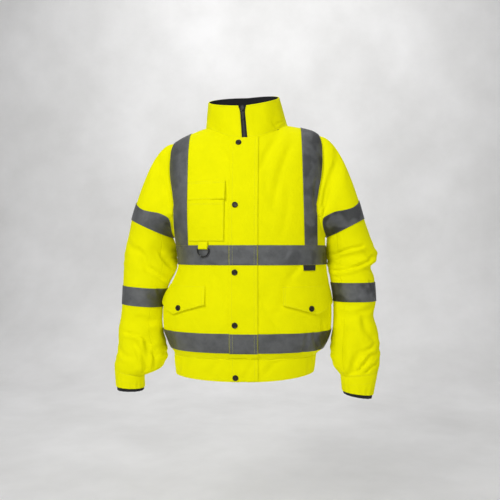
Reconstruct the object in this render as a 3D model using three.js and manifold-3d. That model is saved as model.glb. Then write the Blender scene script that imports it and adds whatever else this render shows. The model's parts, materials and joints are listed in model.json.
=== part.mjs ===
// Hi-vis work jacket: a zipped bomber jacket with reflective tapes, hollow, in its worn shape.
// Millimetres, +Z up, the front faces -Y and the wearer's right is -X.
// Heights are counted from the hem. The whole group is then lowered, so that its origin is
// where the shoulders and neck carry it.

import * as THREE from 'three';
import Module from 'manifold-3d';
import { mergeVertices } from 'three/addons/utils/BufferGeometryUtils.js';

// Driving dimensions
const CARRIED_AT = 655;
const CLOTH = 2.4;
const SEAM = 0.3;
const HALF_SEAM = SEAM / 2;
const TAPE = 0.9;
const TAPE_WIDTH = 50;
const LIFT = 0.6;
const WAISTBAND_TOP = 58;
const WAIST_TAPE_LOW = 76;
const CHEST_TAPE_LOW = 299;
const UNDERARM = 368;
const YOKE = 450;
const ROUND = 2.3;
const SLEEVE_ROUND = 2.15;
const ARMHOLE_WAIST = 190;
const NECK_HALF = 112;
const NECK_FRONT = 100;
const NECK_BACK = 65;
const COLLAR_HALF = 97;
const COLLAR_REACH = 78;
const COLLAR_MIDDLE_Y = -5;
const COLLAR_LEAN = -7;
const COLLAR_TOP = 743;
const COLLAR_WALL = 2.2;
const COLLAR_BACK_RISE = 0.36;
const COLLAR_LEFT_RISE = 0.12;
const COLLAR_FLARE = 0.3;
const COLLAR_SHARES = [0, 0.12, 0.45, 0.75, 1];
const COLLAR_LINING_SHARES = [0.12, 0.45, 0.75, 0.985];
const LINING_WALL = 1.5;
const ZIP_WALL = 2;
const ZIP_SET_BACK = 0.6;
const ZIP_BOTTOM = 1;
const ZIP_SHARES = [0.12, 0.45, 0.75, 0.99];
const ZIP_HALF = 7;
const FLAP_HALF = 36;
const FLAP_WALL = 2.8;
const FLAP_BOTTOM = 1.5;
const FLAP_TOP_GAP = 4;
const SNAP_RADIUS = 7.5;
const SNAPS = [
  { x: -15, z: 613 }, { x: -21.5, z: 450 }, { x: -21.5, z: 281 }, { x: -21.5, z: 148.5 }, { x: -21.5, z: 12 },
];
const HEM_RISE = { right: 5, left: 13, at: 190 };
const BRACE_MARGIN = 5;
const BRACE_OUTER = { chest: 188, shoulder: 185 };
const TAPE_END = 0.5;
const CUFF_STEPS = 30;

// Sections of the body: height, half width, reach to front and back, sideways shift, lean to the back
const SECTIONS = [
  { z: 0, half: 188, front: 117, back: 109, shift: -4, lean: 0 },
  { z: 29, half: 191, front: 120, back: 112, shift: -4, lean: 0 },
  { z: 58, half: 193, front: 122, back: 114, shift: -3, lean: 0 },
  { z: 76, half: 207, front: 131, back: 122, shift: 2, lean: 0 },
  { z: 101, half: 219, front: 139, back: 128, shift: 3, lean: 0 },
  { z: 126, half: 227, front: 143, back: 131, shift: 2, lean: 0 },
  { z: 170, half: 229, front: 146, back: 132, shift: 2, lean: 0 },
  { z: 208, half: 225, front: 147, back: 133, shift: 4, lean: 0 },
  { z: 246, half: 214, front: 147, back: 135, shift: 10, lean: 0 },
  { z: 299, half: 201, front: 147, back: 138, shift: 16, lean: 0 },
  { z: 349, half: 202, front: 147, back: 142, shift: 12, lean: 0 },
  { z: 398, half: 209, front: 145, back: 146, shift: 5, lean: 0 },
  { z: 450, half: 218, front: 140, back: 148, shift: 0, lean: 2 },
  { z: 550, half: 218, front: 127, back: 143, shift: 0, lean: 8 },
  { z: 640, half: 218, front: 126, back: 142, shift: 0, lean: 11 },
  { z: 700, half: 218, front: 126, back: 142, shift: 0, lean: 11 },
];

// Shoulder line: distance from the middle, and its height on the wearer's right and left
const SHOULDERS = [
  { x: 0, right: 700, left: 700 },
  { x: 112, right: 670, left: 676 },
  { x: 150, right: 656, left: 669 },
  { x: 180, right: 642, left: 661 },
  { x: 200, right: 630, left: 648 },
  { x: 218, right: 614, left: 628 },
];

// Armhole: share of the way from the yoke line to the shoulder, and its distance from the middle
const ARMHOLE = [
  { share: 0, x: 190 },
  { share: 0.22, x: 197 },
  { share: 0.44, x: 205 },
  { share: 0.64, x: 208 },
  { share: 0.82, x: 208 },
  { share: 0.95, x: 204 },
  { share: 1, x: 199 },
];

// Rows of the body panels: by height up to the yoke line, then by share of the way up
const PANEL_ROWS = [
  { z: 58 }, { z: 76 }, { z: 101 }, { z: 126 }, { z: 170 }, { z: 208 }, { z: 246 }, { z: 299 },
  { z: 349 }, { z: 368 }, { z: 378 }, { z: 398 }, { z: 425 }, { z: 450 }, { share: 0.22 },
  { share: 0.44 }, { share: 0.64 }, { share: 0.82 }, { share: 0.95 }, { share: 1 },
];
const BAND_ROWS = [{ z: 0 }, { z: 29 }, { z: 58 }];
const FRONT_LINES = [ZIP_HALF, FLAP_HALF, 64, 88, 105, NECK_HALF];
const BACK_LINES = [0, 43, 79, 103, NECK_HALF];
const SIDE_STEPS = 2;

// Inner edge of each brace tape: where it meets the chest tape and the shoulder
const BRACE_EDGE = {
  right: { chest: 144, shoulder: 150 },
  left: { chest: 155, shoulder: 147 },
  back: { chest: 150, shoulder: 149 },
};

// Rings of a sleeve below the armhole: outer and inner point as seen from the front, middle and
// half depth from front to back. The upper tape ends on the first ring, and the lower tape lies
// between the eighth and ninth.
const SLEEVE_RINGS = {
  left: [
    { ox: 319, oz: 422, ix: 220, iz: 371, y: 10, deep: 76 },
    { ox: 332, oz: 385, ix: 220, iz: 348, y: 12, deep: 74 },
    { ox: 345, oz: 351, ix: 221, iz: 328, y: 13, deep: 72 },
    { ox: 356, oz: 325, ix: 223, iz: 310, y: 14, deep: 70 },
    { ox: 352, oz: 308, ix: 223, iz: 296, y: 13, deep: 67 },
    { ox: 337, oz: 289, ix: 224, iz: 283, y: 10, deep: 66 },
    { ox: 345, oz: 268, ix: 227, iz: 267, y: 7, deep: 65 },
    { ox: 347, oz: 251, ix: 230, iz: 250, y: 4, deep: 64 },
    { ox: 349, oz: 201, ix: 237, iz: 200, y: -3, deep: 60 },
    { ox: 342, oz: 163, ix: 238, iz: 168, y: -9, deep: 58 },
    { ox: 351, oz: 128, ix: 235, iz: 132, y: -15, deep: 58 },
    { ox: 356, oz: 92, ix: 228, iz: 97, y: -20, deep: 57 },
    { ox: 357, oz: 60, ix: 226, iz: 64, y: -25, deep: 54 },
    { ox: 355, oz: 33, ix: 232, iz: 34, y: -30, deep: 49 },
    { ox: 350, oz: 15, ix: 252, iz: 5, y: -34, deep: 42 },
  ],
  right: [
    { ox: 315, oz: 421, ix: 205, iz: 370, y: 8, deep: 76 },
    { ox: 322, oz: 388, ix: 199, iz: 350, y: 9, deep: 74 },
    { ox: 330, oz: 356, ix: 197, iz: 334, y: 9, deep: 72 },
    { ox: 336, oz: 327, ix: 195, iz: 316, y: 9, deep: 70 },
    { ox: 338, oz: 300, ix: 193, iz: 294, y: 7, deep: 68 },
    { ox: 338, oz: 281, ix: 198, iz: 275, y: 5, deep: 66 },
    { ox: 338, oz: 261, ix: 209, iz: 254, y: 2, deep: 65 },
    { ox: 338, oz: 241, ix: 218, iz: 232, y: -1, deep: 64 },
    { ox: 339, oz: 192, ix: 231, iz: 183, y: -7, deep: 60 },
    { ox: 341, oz: 158, ix: 233, iz: 150, y: -12, deep: 59 },
    { ox: 346, oz: 122, ix: 228, iz: 119, y: -19, deep: 59 },
    { ox: 345, oz: 88, ix: 217, iz: 86, y: -26, deep: 58 },
    { ox: 348, oz: 56, ix: 212, iz: 54, y: -32, deep: 55 },
    { ox: 353, oz: 32, ix: 227, iz: 22, y: -37, deep: 49 },
    { ox: 352, oz: 19, ix: 273, iz: 1, y: -41, deep: 40 },
  ],
};
const CUFF_END = {
  left: { ox: 339, oz: -43, ix: 255, iz: -34, y: -38, deep: 38 },
  right: { ox: 348, oz: -26, ix: 271, iz: -30, y: -44, deep: 37 },
};
const CUFF_LINING_DROP = 7;
const CUFF_LINING_START = 0.5;
const CAP_SHARES = [0, 0.12, 0.3, 0.55, 0.88];
const CAP_RISE = 97;
const CAP_SPREAD = 14;
const CAP_LOW_RISE = 8;
const CAP_HOLD = 0.82;
const CAP_HOLD_STEPS = { at: 2, spread: 3 };
const SLEEVE_STEPS = 20;
const UNDER_SEAM = 3;
const UPPER_TAPE_RINGS = [4, 5];
const LOWER_TAPE_RINGS = [12, 13];

// Largest folds, as soft troughs (positive depth, pressed in) between two points seen from the
// front or the back: x and z of both ends, half width and depth
const FOLDS = {
  front: [
    { x1: 262, z1: 315, x2: 322, z2: 322, half: 13, deep: 7 },
    { x1: 245, z1: 290, x2: 350, z2: 318, half: 12, deep: -5 },
    { x1: 250, z1: 590, x2: 215, z2: 468, half: 15, deep: 7 },
    { x1: 268, z1: 168, x2: 345, z2: 186, half: 12, deep: 4 },
    { x1: 300, z1: 80, x2: 350, z2: 58, half: 11, deep: 5 },
    { x1: 290, z1: 52, x2: 280, z2: 18, half: 10, deep: 5 },
    { x1: -238, z1: 566, x2: -212, z2: 462, half: 16, deep: 6 },
    { x1: -232, z1: 330, x2: -190, z2: 285, half: 13, deep: 7 },
    { x1: -290, z1: 322, x2: -218, z2: 236, half: 12, deep: 6 },
    { x1: -282, z1: 138, x2: -236, z2: 112, half: 15, deep: 7 },
    { x1: -296, z1: 86, x2: -268, z2: 20, half: 11, deep: 6 },
    { x1: -252, z1: 92, x2: -256, z2: 24, half: 10, deep: 4 },
    { x1: 84, z1: 640, x2: 46, z2: 560, half: 17, deep: 4 },
    { x1: 118, z1: 610, x2: 78, z2: 470, half: 18, deep: 3 },
    { x1: 118, z1: 262, x2: 134, z2: 292, half: 13, deep: 3 },
    { x1: -70, z1: 600, x2: -44, z2: 560, half: 15, deep: 3 },
    { x1: -74, z1: 262, x2: -52, z2: 140, half: 18, deep: 3 },
    { x1: 48, z1: 210, x2: 92, z2: 140, half: 18, deep: 3 },
  ],
  back: [
    { x1: 262, z1: 330, x2: 318, z2: 300, half: 14, deep: 5 },
    { x1: -262, z1: 322, x2: -318, z2: 296, half: 14, deep: 5 },
    { x1: 280, z1: 120, x2: 330, z2: 60, half: 13, deep: 5 },
    { x1: -270, z1: 112, x2: -330, z2: 64, half: 13, deep: 5 },
    { x1: 236, z1: 560, x2: 216, z2: 450, half: 17, deep: 5 },
    { x1: -236, z1: 560, x2: -216, z2: 450, half: 17, deep: 5 },
    { x1: 120, z1: 560, x2: 60, z2: 420, half: 22, deep: 4 },
    { x1: -128, z1: 540, x2: -50, z2: 400, half: 22, deep: 4 },
    { x1: 90, z1: 270, x2: 60, z2: 150, half: 20, deep: 4 },
    { x1: -70, z1: 280, x2: -96, z2: 150, half: 20, deep: 4 },
  ],
};
const BAND_GATHERS = 18;
const BAND_GATHER_DEPTH = 2.2;
const BAND_GATHER_FADE = 20;
const CUFF_RIB_DEPTH = 1.1;

const FINISHES = {
  yellow: { color: 0xdde64c, roughness: 0.8, metalness: 0 },
  tape: { color: 0x8c8f8e, roughness: 0.45, metalness: 0.2 },
  black: { color: 0x1c1c1f, roughness: 0.6, metalness: 0 },
  lining: { color: 0x2a2c33, roughness: 0.9, metalness: 0 },
  snap: { color: 0x2c2b2c, roughness: 0.35, metalness: 0.5 },
};

const jacket = new THREE.Group();
jacket.position.z = -CARRIED_AT;

function mix(a, b, t) {
  return a + (b - a) * t;
}

function clamp01(t) {
  return Math.min(1, Math.max(0, t));
}

function smooth(t) {
  const s = clamp01(t);
  return s * s * (3 - 2 * s);
}

// Reads a column of a table between its rows
function lookup(table, key, at, column) {
  const last = table.length - 1;
  const next = table.findIndex((row) => row[key] >= at);
  if (next === 0) return table[0][column];
  if (next < 0) return table[last][column];
  const low = table[next - 1];
  const high = table[next];
  return mix(low[column], high[column], (at - low[key]) / (high[key] - low[key]));
}

function section(z) {
  const read = (column) => lookup(SECTIONS, 'z', z, column);
  return {
    half: read('half'), front: read('front'), back: read('back'), shift: read('shift'), lean: read('lean'),
  };
}

function shoulderHeight(x) {
  return lookup(SHOULDERS, 'x', Math.abs(x), x < 0 ? 'right' : 'left');
}

// Depth of all the folds at a point seen from the front or back, which fades out at the silhouette
function foldDepth(x, z, facing) {
  const table = facing < 0 ? FOLDS.front : FOLDS.back;
  let depth = 0;
  for (const fold of table) {
    const along = { x: fold.x2 - fold.x1, z: fold.z2 - fold.z1 };
    const length2 = along.x ** 2 + along.z ** 2;
    const t = clamp01(((x - fold.x1) * along.x + (z - fold.z1) * along.z) / length2);
    const away = Math.hypot(x - fold.x1 - t * along.x, z - fold.z1 - t * along.z);
    depth += fold.deep * Math.exp(-((away / fold.half) ** 2));
  }
  return depth * smooth((Math.abs(facing) - 0.25) * 2);
}

// The body is |x / half| ^ n + |y / reach| ^ n = 1 at each height. Above the yoke line the reach
// shrinks by sqrt(1 - rise ^ 3), so that front and back meet on the shoulder line.
function bodyValue(face, x, y, z) {
  const s = section(z);
  const across = Math.abs(x - s.shift) / s.half;
  const out = (y - s.lean) / (face < 0 ? s.front : s.back);
  const rise = (z - YOKE) / (shoulderHeight(x) - YOKE);
  if (rise < 0.1) return across ** ROUND + Math.abs(out) ** ROUND - 1;
  const open = Math.max(0.001, 1 - across ** ROUND) ** (2 / ROUND);
  return rise ** 3 + out ** 2 / open - 1;
}

function bodyNormal(face, p) {
  const step = 0.4;
  const slope = (dx, dy, dz) =>
    bodyValue(face, p.x + dx, p.y + dy, p.z + dz) - bodyValue(face, p.x - dx, p.y - dy, p.z - dz);
  return new THREE.Vector3(slope(step, 0, 0), slope(0, step, 0), slope(0, 0, step)).normalize();
}

// How far up the body's dome the neck edge lies: 1 on the shoulder line, less in the middle
function neckRise(face, x) {
  const share = Math.abs(x) / NECK_HALF;
  if (share >= 1) return 1;
  const s = section(YOKE + 200);
  const reach = (face < 0 ? NECK_FRONT : NECK_BACK) * Math.sqrt(1 - share ** 2);
  const depth = (face < 0 ? s.front : s.back) * (1 - (Math.abs(x) / s.half) ** ROUND) ** (1 / ROUND);
  return (1 - (reach / depth) ** 2) ** (1 / 3);
}

// The hem rises towards the side seams, less and less up to the waistband's top
function hemRise(x, z) {
  const most = x < 0 ? HEM_RISE.right : HEM_RISE.left;
  return most * (x / HEM_RISE.at) ** 2 * clamp01(1 - z / WAISTBAND_TOP);
}

// One point of the body's outer skin, with its outward direction
function bodyPoint(face, x, row) {
  const rise = row.share === undefined ? 0 : row.share * neckRise(face, x);
  const z = row.share === undefined ? row.z : YOKE + rise * (shoulderHeight(x) - YOKE);
  const s = section(z);
  const across = Math.min(1, Math.abs(x - s.shift) / s.half);
  const reach = (face < 0 ? s.front : s.back) * (1 - across ** ROUND) ** (1 / ROUND);
  const p = new THREE.Vector3(x, s.lean + face * reach * Math.sqrt(1 - rise ** 3), z);
  const n = bodyNormal(face, p);
  if (row.z <= WAISTBAND_TOP) n.setZ(0).normalize();
  p.addScaledVector(n, -foldDepth(x, z, n.y));
  return { p: p.setZ(p.z + hemRise(x, z)), n };
}

function turnOf(x, s, side) {
  return Math.asin(clamp01(((x - s.shift) * side) / s.half) ** (ROUND / 2));
}

function acrossAt(turn, s, side) {
  return s.shift + side * s.half * Math.sin(turn) ** (2 / ROUND);
}

// Turn of the panel's outer edge at a row: the side seam, then the armhole
function edgeTurn(row, s, side) {
  const narrow = turnOf(ARMHOLE_WAIST * side, s, side);
  if (row.share !== undefined) return turnOf(lookup(ARMHOLE, 'share', row.share, 'x') * side, s, side);
  if (row.z <= UNDERARM) return Math.PI / 2;
  const up = (row.z - UNDERARM) / (YOKE - UNDERARM);
  return mix(Math.PI / 2, narrow, Math.sqrt(up * (2 - up)));
}

// The places across half a panel at one row, from its middle lines out to its edge
function placesAcross(row, side, lines, brace) {
  const high = row.share === undefined ? row.z : mix(YOKE, CARRIED_AT, row.share);
  const s = section(high);
  const up = clamp01((high - CHEST_TAPE_LOW) / (CARRIED_AT - CHEST_TAPE_LOW));
  const tapeEdge = mix(brace.chest, brace.shoulder, up) * side;
  const beside = mix(BRACE_OUTER.chest, BRACE_OUTER.shoulder, up);
  const outer = row.share === undefined ? beside : lookup(ARMHOLE, 'share', row.share, 'x') - BRACE_MARGIN;
  const turns = [turnOf(tapeEdge, s, side), turnOf(outer * side, s, side), edgeTurn(row, s, side)];
  const places = lines.map((x) => x * side);
  for (let k = 0; k <= 2 * SIDE_STEPS; k += 1) {
    const span = Math.min(1, Math.floor(k / SIDE_STEPS));
    const turn = mix(turns[span], turns[span + 1], k / SIDE_STEPS - span);
    places.push(acrossAt(turn, s, side));
  }
  return places;
}

function frontGrid(side, rows) {
  const brace = side < 0 ? BRACE_EDGE.right : BRACE_EDGE.left;
  return rows.map((row) => placesAcross(row, side, FRONT_LINES, brace).map((x) => bodyPoint(-1, x, row)));
}

function backGrid(rows) {
  return rows.map((row) => {
    const right = placesAcross(row, -1, BACK_LINES, BRACE_EDGE.back).slice(1).reverse();
    const left = placesAcross(row, 1, BACK_LINES, BRACE_EDGE.back);
    return [...right, ...left].map((x) => bodyPoint(1, x, row));
  });
}

function copyOf(grid) {
  return grid.map((row) => row.map(({ p, n }) => ({ p: p.clone(), n: n.clone() })));
}

function between(a, b, t) {
  return { p: a.p.clone().lerp(b.p, t), n: a.n.clone().lerp(b.n, t).normalize() };
}

function shortened(edge, next, by) {
  return between(edge, next, Math.min(0.5, by / edge.p.distanceTo(next.p)));
}

// Draws the edges of a grid back from its seams, along its own faces
function trimmed(grid, { first = 0, last = 0, left = 0, right = 0 }) {
  let cut = copyOf(grid);
  if (first) cut[0] = cut[0].map((v, c) => shortened(v, cut[1][c], first));
  const end = cut.length - 1;
  if (last) cut[end] = cut[end].map((v, c) => shortened(v, cut[end - 1][c], last));
  if (left) cut = cut.map((row) => [shortened(row[0], row[1], left), ...row.slice(1)]);
  if (right) cut = cut.map((row) => [...row.slice(0, -1), shortened(row.at(-1), row.at(-2), right)]);
  return cut;
}

function part(grid, [row1, row2], [column1, column2]) {
  return grid.slice(row1, row2 + 1).map((row) => row.slice(column1, column2 + 1));
}

function signedVolume(points, faces) {
  let sum = 0;
  for (const [a, b, c] of faces) sum += points[a].dot(points[b].clone().cross(points[c]));
  return sum;
}

function closedMesh(points, faces) {
  const turned = signedVolume(points, faces) < 0 ? faces.map(([a, b, c]) => [a, c, b]) : faces;
  const geometry = new THREE.BufferGeometry();
  geometry.setAttribute('position', new THREE.Float32BufferAttribute(points.flatMap((p) => p.toArray()), 3));
  geometry.setIndex(turned.flat());
  geometry.computeVertexNormals();
  return geometry;
}

// A closed cloth wall: the grid's points moved out to both skins, joined round the edges.
// A ring is a grid whose last column meets its first.
function wall(grid, outer, inner, ring = false) {
  const rows = grid.length;
  const columns = grid[0].length;
  const lift = (v, by) => v.p.clone().addScaledVector(v.n, by);
  const flat = grid.flat();
  const points = [...flat.map((v) => lift(v, outer)), ...flat.map((v) => lift(v, inner))];
  const at = (skin, r, c) => skin * rows * columns + r * columns + (c % columns);
  const faces = [];
  const quad = (a, b, c, d) => faces.push([a, b, c], [a, c, d]);
  const spans = ring ? columns : columns - 1;
  const closed = ring ? grid.map((row) => [...row, row[0]]) : grid;
  for (let r = 0; r + 1 < rows; r += 1) {
    for (let c = 0; c < spans; c += 1) {
      const corners = (k) => [at(k, r, c), at(k, r, c + 1), at(k, r + 1, c + 1), at(k, r + 1, c)];
      const turned = ([a, b, d, e]) => (foldsForward(closed, r, c) ? [a, b, d, e] : [b, d, e, a]);
      quad(...turned(corners(0)));
      const [a, b, d, e] = turned(corners(1));
      faces.push([a, d, b], [a, e, d]);
    }
  }
  for (let c = 0; c < spans; c += 1) {
    quad(at(0, 0, c), at(1, 0, c), at(1, 0, c + 1), at(0, 0, c + 1));
    quad(at(0, rows - 1, c), at(0, rows - 1, c + 1), at(1, rows - 1, c + 1), at(1, rows - 1, c));
  }
  for (let r = 0; r + 1 < rows && !ring; r += 1) {
    quad(at(0, r, 0), at(0, r + 1, 0), at(1, r + 1, 0), at(1, r, 0));
    quad(at(0, r, spans), at(1, r, spans), at(1, r + 1, spans), at(0, r + 1, spans));
  }
  return closedMesh(points, faces);
}

function add(name, geometry, finish) {
  const mesh = new THREE.Mesh(geometry, new THREE.MeshStandardMaterial(FINISHES[finish]));
  mesh.name = name;
  jacket.add(mesh);
  return mesh;
}

// Whether a grid's square folds outwards along the diagonal from its first to its last corner
function foldsForward(grid, r, c) {
  const rise = grid[r][c].p.clone().add(grid[r + 1][c + 1].p).sub(grid[r][c + 1].p).sub(grid[r + 1][c].p);
  return rise.dot(grid[r][c].n.clone().add(grid[r + 1][c + 1].n)) > 0;
}

function weighed(corners, weights) {
  const blend = (key) => corners.reduce(
    (sum, corner, k) => sum.addScaledVector(corner[key], weights[k]), new THREE.Vector3());
  return { p: blend('p'), n: blend('n').normalize() };
}

// A point of a panel at a column and row number with fractions, lying on the panel's own faces
function onGrid(panel, column, row) {
  const c = Math.min(Math.floor(column), panel[0].length - 2);
  const r = Math.min(Math.floor(row), panel.length - 2);
  const [u, v] = [column - c, row - r];
  const [a, b, d, e] = [panel[r][c], panel[r][c + 1], panel[r + 1][c], panel[r + 1][c + 1]];
  if (foldsForward(panel, r, c)) {
    return u > v ? weighed([a, b, e], [1 - u, u - v, v]) : weighed([a, d, e], [1 - v, v - u, u]);
  }
  return u + v < 1 ? weighed([a, b, d], [1 - u - v, u, v]) : weighed([e, d, b], [u + v - 1, 1 - u, 1 - v]);
}

// Row number, with its fraction, of a height below the yoke line
function rowNumber(z) {
  const next = PANEL_ROWS.findIndex((row) => row.z >= z);
  const low = PANEL_ROWS[Math.max(0, next - 1)];
  return next < 1 ? next : next - 1 + (z - low.z) / (PANEL_ROWS[next].z - low.z);
}

// The point of a panel's faces at a place seen from the front, by looking through its triangles
function onPanel(panel, x, z) {
  for (let r = 0; r + 1 < panel.length; r += 1) {
    for (let c = 0; c + 1 < panel[0].length; c += 1) {
      const [a, b, d, e] = [panel[r][c], panel[r][c + 1], panel[r + 1][c], panel[r + 1][c + 1]];
      const halves = foldsForward(panel, r, c) ? [[a, b, e], [a, d, e]] : [[a, b, d], [e, b, d]];
      for (const [k, l, m] of halves) {
        const side = (i, j) => (j.p.x - i.p.x) * (z - i.p.z) - (j.p.z - i.p.z) * (x - i.p.x);
        const parts = [side(l, m), side(m, k), side(k, l)];
        const area = parts[0] + parts[1] + parts[2];
        const weights = parts.map((v) => v / area);
        if (Math.min(...weights) > -1e-6) return weighed([k, l, m], weights);
      }
    }
  }
  throw new Error(`no cloth at ${x}, ${z}`);
}

// A piece laid on a panel: places across and up, each moved out by its own lift
function laidOn(panel, columns, rows, place, lift) {
  const grid = [];
  for (let r = 0; r <= rows; r += 1) {
    const line = [];
    for (let c = 0; c <= columns; c += 1) {
      const { x, z } = place(c / columns, r / rows);
      const v = onPanel(panel, x, z);
      v.p.addScaledVector(v.n, lift(c / columns, r / rows));
      line.push(v);
    }
    grid.push(line);
  }
  return grid;
}

// A group standing on a panel: its X runs level along the cloth, its -Y points out, its Z up
function frameOn(panel, x, z, lift) {
  const reach = SNAP_RADIUS;
  const at = (dx, dz) => onPanel(panel, x + dx, z + dz).p;
  const level = at(reach, 0).sub(at(-reach, 0)).setZ(0).normalize();
  const up = at(0, reach).sub(at(0, -reach)).normalize();
  const inward = up.clone().cross(level).normalize();
  const group = new THREE.Group();
  const basis = new THREE.Matrix4().makeBasis(level, inward, level.clone().cross(inward));
  group.quaternion.setFromRotationMatrix(basis);
  group.position.copy(at(0, 0).addScaledVector(inward, -lift));
  jacket.add(group);
  return group;
}

const FRONT = { right: frontGrid(-1, PANEL_ROWS), left: frontGrid(1, PANEL_ROWS) };
const BACK = backGrid(PANEL_ROWS);
const rowAt = (z) => PANEL_ROWS.findIndex((row) => row.z === z);
const SHOULDER_ROW = PANEL_ROWS.length - 1;
const EDGE = FRONT_LINES.length + 2 * SIDE_STEPS;
const TAPE_IN = FRONT_LINES.length;
const TAPE_OUT = TAPE_IN + SIDE_STEPS;
const BACK_LAST = BACK[0].length - 1;

function addBody() {
  const edges = { first: HALF_SEAM, last: HALF_SEAM, left: HALF_SEAM, right: HALF_SEAM };
  add('front_right', wall(trimmed(FRONT.right, edges), 0, -CLOTH), 'yellow');
  add('front_left', wall(trimmed(FRONT.left, edges), 0, -CLOTH), 'yellow');
  add('back', wall(trimmed(BACK, edges), 0, -CLOTH), 'yellow');
}

// The elastic draws the back of the waistband into even gathers, which fade out at its top seam
function gatheredBand() {
  const steps = 4 * BAND_GATHERS;
  return BAND_ROWS.map((row) => {
    const s = section(row.z);
    const line = [];
    for (let c = 0; c <= steps; c += 1) {
      const t = (2 * c) / steps - 1;
      const side = t < 0 ? -1 : 1;
      const v = bodyPoint(1, acrossAt((Math.abs(t) * Math.PI) / 2, s, side), row);
      const wave = (1 - Math.cos((2 * Math.PI * BAND_GATHERS * c) / steps)) / 2;
      const fade = clamp01((WAISTBAND_TOP - row.z) / BAND_GATHER_FADE);
      v.p.addScaledVector(v.n, -BAND_GATHER_DEPTH * wave * fade);
      line.push(v);
    }
    return line;
  });
}

function addWaistband() {
  const edges = { last: HALF_SEAM, left: HALF_SEAM, right: HALF_SEAM };
  add('waistband_right', wall(trimmed(frontGrid(-1, BAND_ROWS), edges), 0, -CLOTH), 'yellow');
  add('waistband_left', wall(trimmed(frontGrid(1, BAND_ROWS), edges), 0, -CLOTH), 'yellow');
  add('waistband_back', wall(trimmed(gatheredBand(), edges), 0, -CLOTH), 'yellow');
}

// The stand collar: a share of the way from the neck seam to its top edge, which rises to the back
function collarPoint(face, x, share) {
  const base = bodyPoint(face, x, { share: 1 });
  const sine = x / NECK_HALF;
  const cosine = face * Math.sqrt(1 - sine ** 2);
  const top = new THREE.Vector3(COLLAR_LEAN + COLLAR_HALF * sine, COLLAR_MIDDLE_Y + COLLAR_REACH * cosine, 0);
  top.z = COLLAR_TOP + COLLAR_BACK_RISE * top.y + COLLAR_LEFT_RISE * Math.max(0, top.x);
  const out = new THREE.Vector3(sine / COLLAR_HALF, cosine / COLLAR_REACH, 0).normalize();
  const n = base.n.clone().lerp(out, smooth(share / COLLAR_FLARE)).normalize();
  return { p: base.p.lerp(top, share), n };
}

function collarGrid(shares) {
  const front = (side, share) => FRONT_LINES.map((x) => collarPoint(-1, side * x, share));
  const backLines = BACK_LINES.slice(0, -1).reverse();
  const places = [...backLines, ...BACK_LINES.slice(1, -1).map((x) => -x)];
  return shares.map((share) => [
    ...front(1, share),
    ...places.map((x) => collarPoint(1, x, share)),
    ...front(-1, share).reverse(),
  ]);
}

function addCollar() {
  const ends = { left: HALF_SEAM, right: HALF_SEAM };
  const outer = trimmed(collarGrid(COLLAR_SHARES), { ...ends, first: SEAM });
  add('collar_outer', wall(outer, 0, -COLLAR_WALL), 'yellow');
  const lining = trimmed(collarGrid(COLLAR_LINING_SHARES), ends);
  add('collar_lining', wall(lining, -COLLAR_WALL - SEAM, -COLLAR_WALL - SEAM - LINING_WALL), 'lining');
}

function addZip() {
  const places = [SEAM - ZIP_HALF, 0, ZIP_HALF - SEAM];
  const body = [...BAND_ROWS.slice(0, -1), ...PANEL_ROWS];
  const grid = body.map((row) => places.map((x) => bodyPoint(-1, x, row)));
  ZIP_SHARES.forEach((share) => grid.push(places.map((x) => collarPoint(-1, x, share))));
  add('zip', wall(trimmed(grid, { first: ZIP_BOTTOM }), -ZIP_SET_BACK, -ZIP_SET_BACK - ZIP_WALL), 'black');
}

const FLAP_PLACES = [-FLAP_HALF, -ZIP_HALF, ZIP_HALF, FLAP_HALF];
const FLAP_FRONT = LIFT + FLAP_WALL;

function addStormFlap() {
  const rows = [...BAND_ROWS.slice(0, -1), ...PANEL_ROWS];
  const grid = rows.map((row) => FLAP_PLACES.map((x) => bodyPoint(-1, x, row)));
  const flap = trimmed(grid, { first: FLAP_BOTTOM, last: FLAP_TOP_GAP });
  add('storm_flap', wall(flap, FLAP_FRONT, LIFT), 'yellow');
}

function addTape(name, grid, lift = LIFT) {
  return add(name, wall(grid, lift + TAPE, lift), 'tape');
}

// A level tape round the body, in one length for each front, the back and the storm flap
function addLevelTape(name, low, high) {
  const rows = [rowAt(low), rowAt(high)];
  const ends = { left: TAPE_END, right: HALF_SEAM, last: HALF_SEAM };
  addTape(`${name}_right`, trimmed(part(FRONT.right, rows, [1, EDGE]), ends));
  addTape(`${name}_left`, trimmed(part(FRONT.left, rows, [1, EDGE]), ends));
  addTape(`${name}_back`, trimmed(part(BACK, rows, [0, BACK_LAST]), { ...ends, left: HALF_SEAM }));
  const flap = PANEL_ROWS.slice(rows[0], rows[1] + 1);
  const grid = flap.map((row) => FLAP_PLACES.map((x) => bodyPoint(-1, x, row)));
  addTape(`${name}_flap`, trimmed(grid, { left: TAPE_END, right: TAPE_END }), FLAP_FRONT + SEAM);
}

// Over the shoulder: up the front, then down the back, from chest tape to chest tape
function addBraceTape(side) {
  const rows = [rowAt(CHEST_TAPE_LOW + TAPE_WIDTH), SHOULDER_ROW];
  const front = part(side < 0 ? FRONT.right : FRONT.left, rows, [TAPE_IN, TAPE_OUT]);
  const width = TAPE_OUT - TAPE_IN;
  const spread = BACK_LAST - SIDE_STEPS;
  const left = part(BACK, rows, [spread - width, spread]);
  const right = part(BACK, rows, [SIDE_STEPS, SIDE_STEPS + width]);
  const back = side < 0 ? right.map((row) => row.slice().reverse()) : left;
  const grid = [...front, ...back.reverse().slice(1)];
  addTape(side < 0 ? 'brace_tape_right' : 'brace_tape_left', trimmed(grid, { first: SEAM, last: SEAM }));
}

// The armhole's seam points: from the underarm up the front, over the shoulder and down the back
function armholeRing(side) {
  const from = rowAt(UNDERARM);
  const front = (side < 0 ? FRONT.right : FRONT.left).slice(from).map((row) => row.at(-1));
  const back = BACK.slice(from + 1, -1).map((row) => (side < 0 ? row[0] : row.at(-1)));
  return [...front, ...back.reverse()];
}

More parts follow.
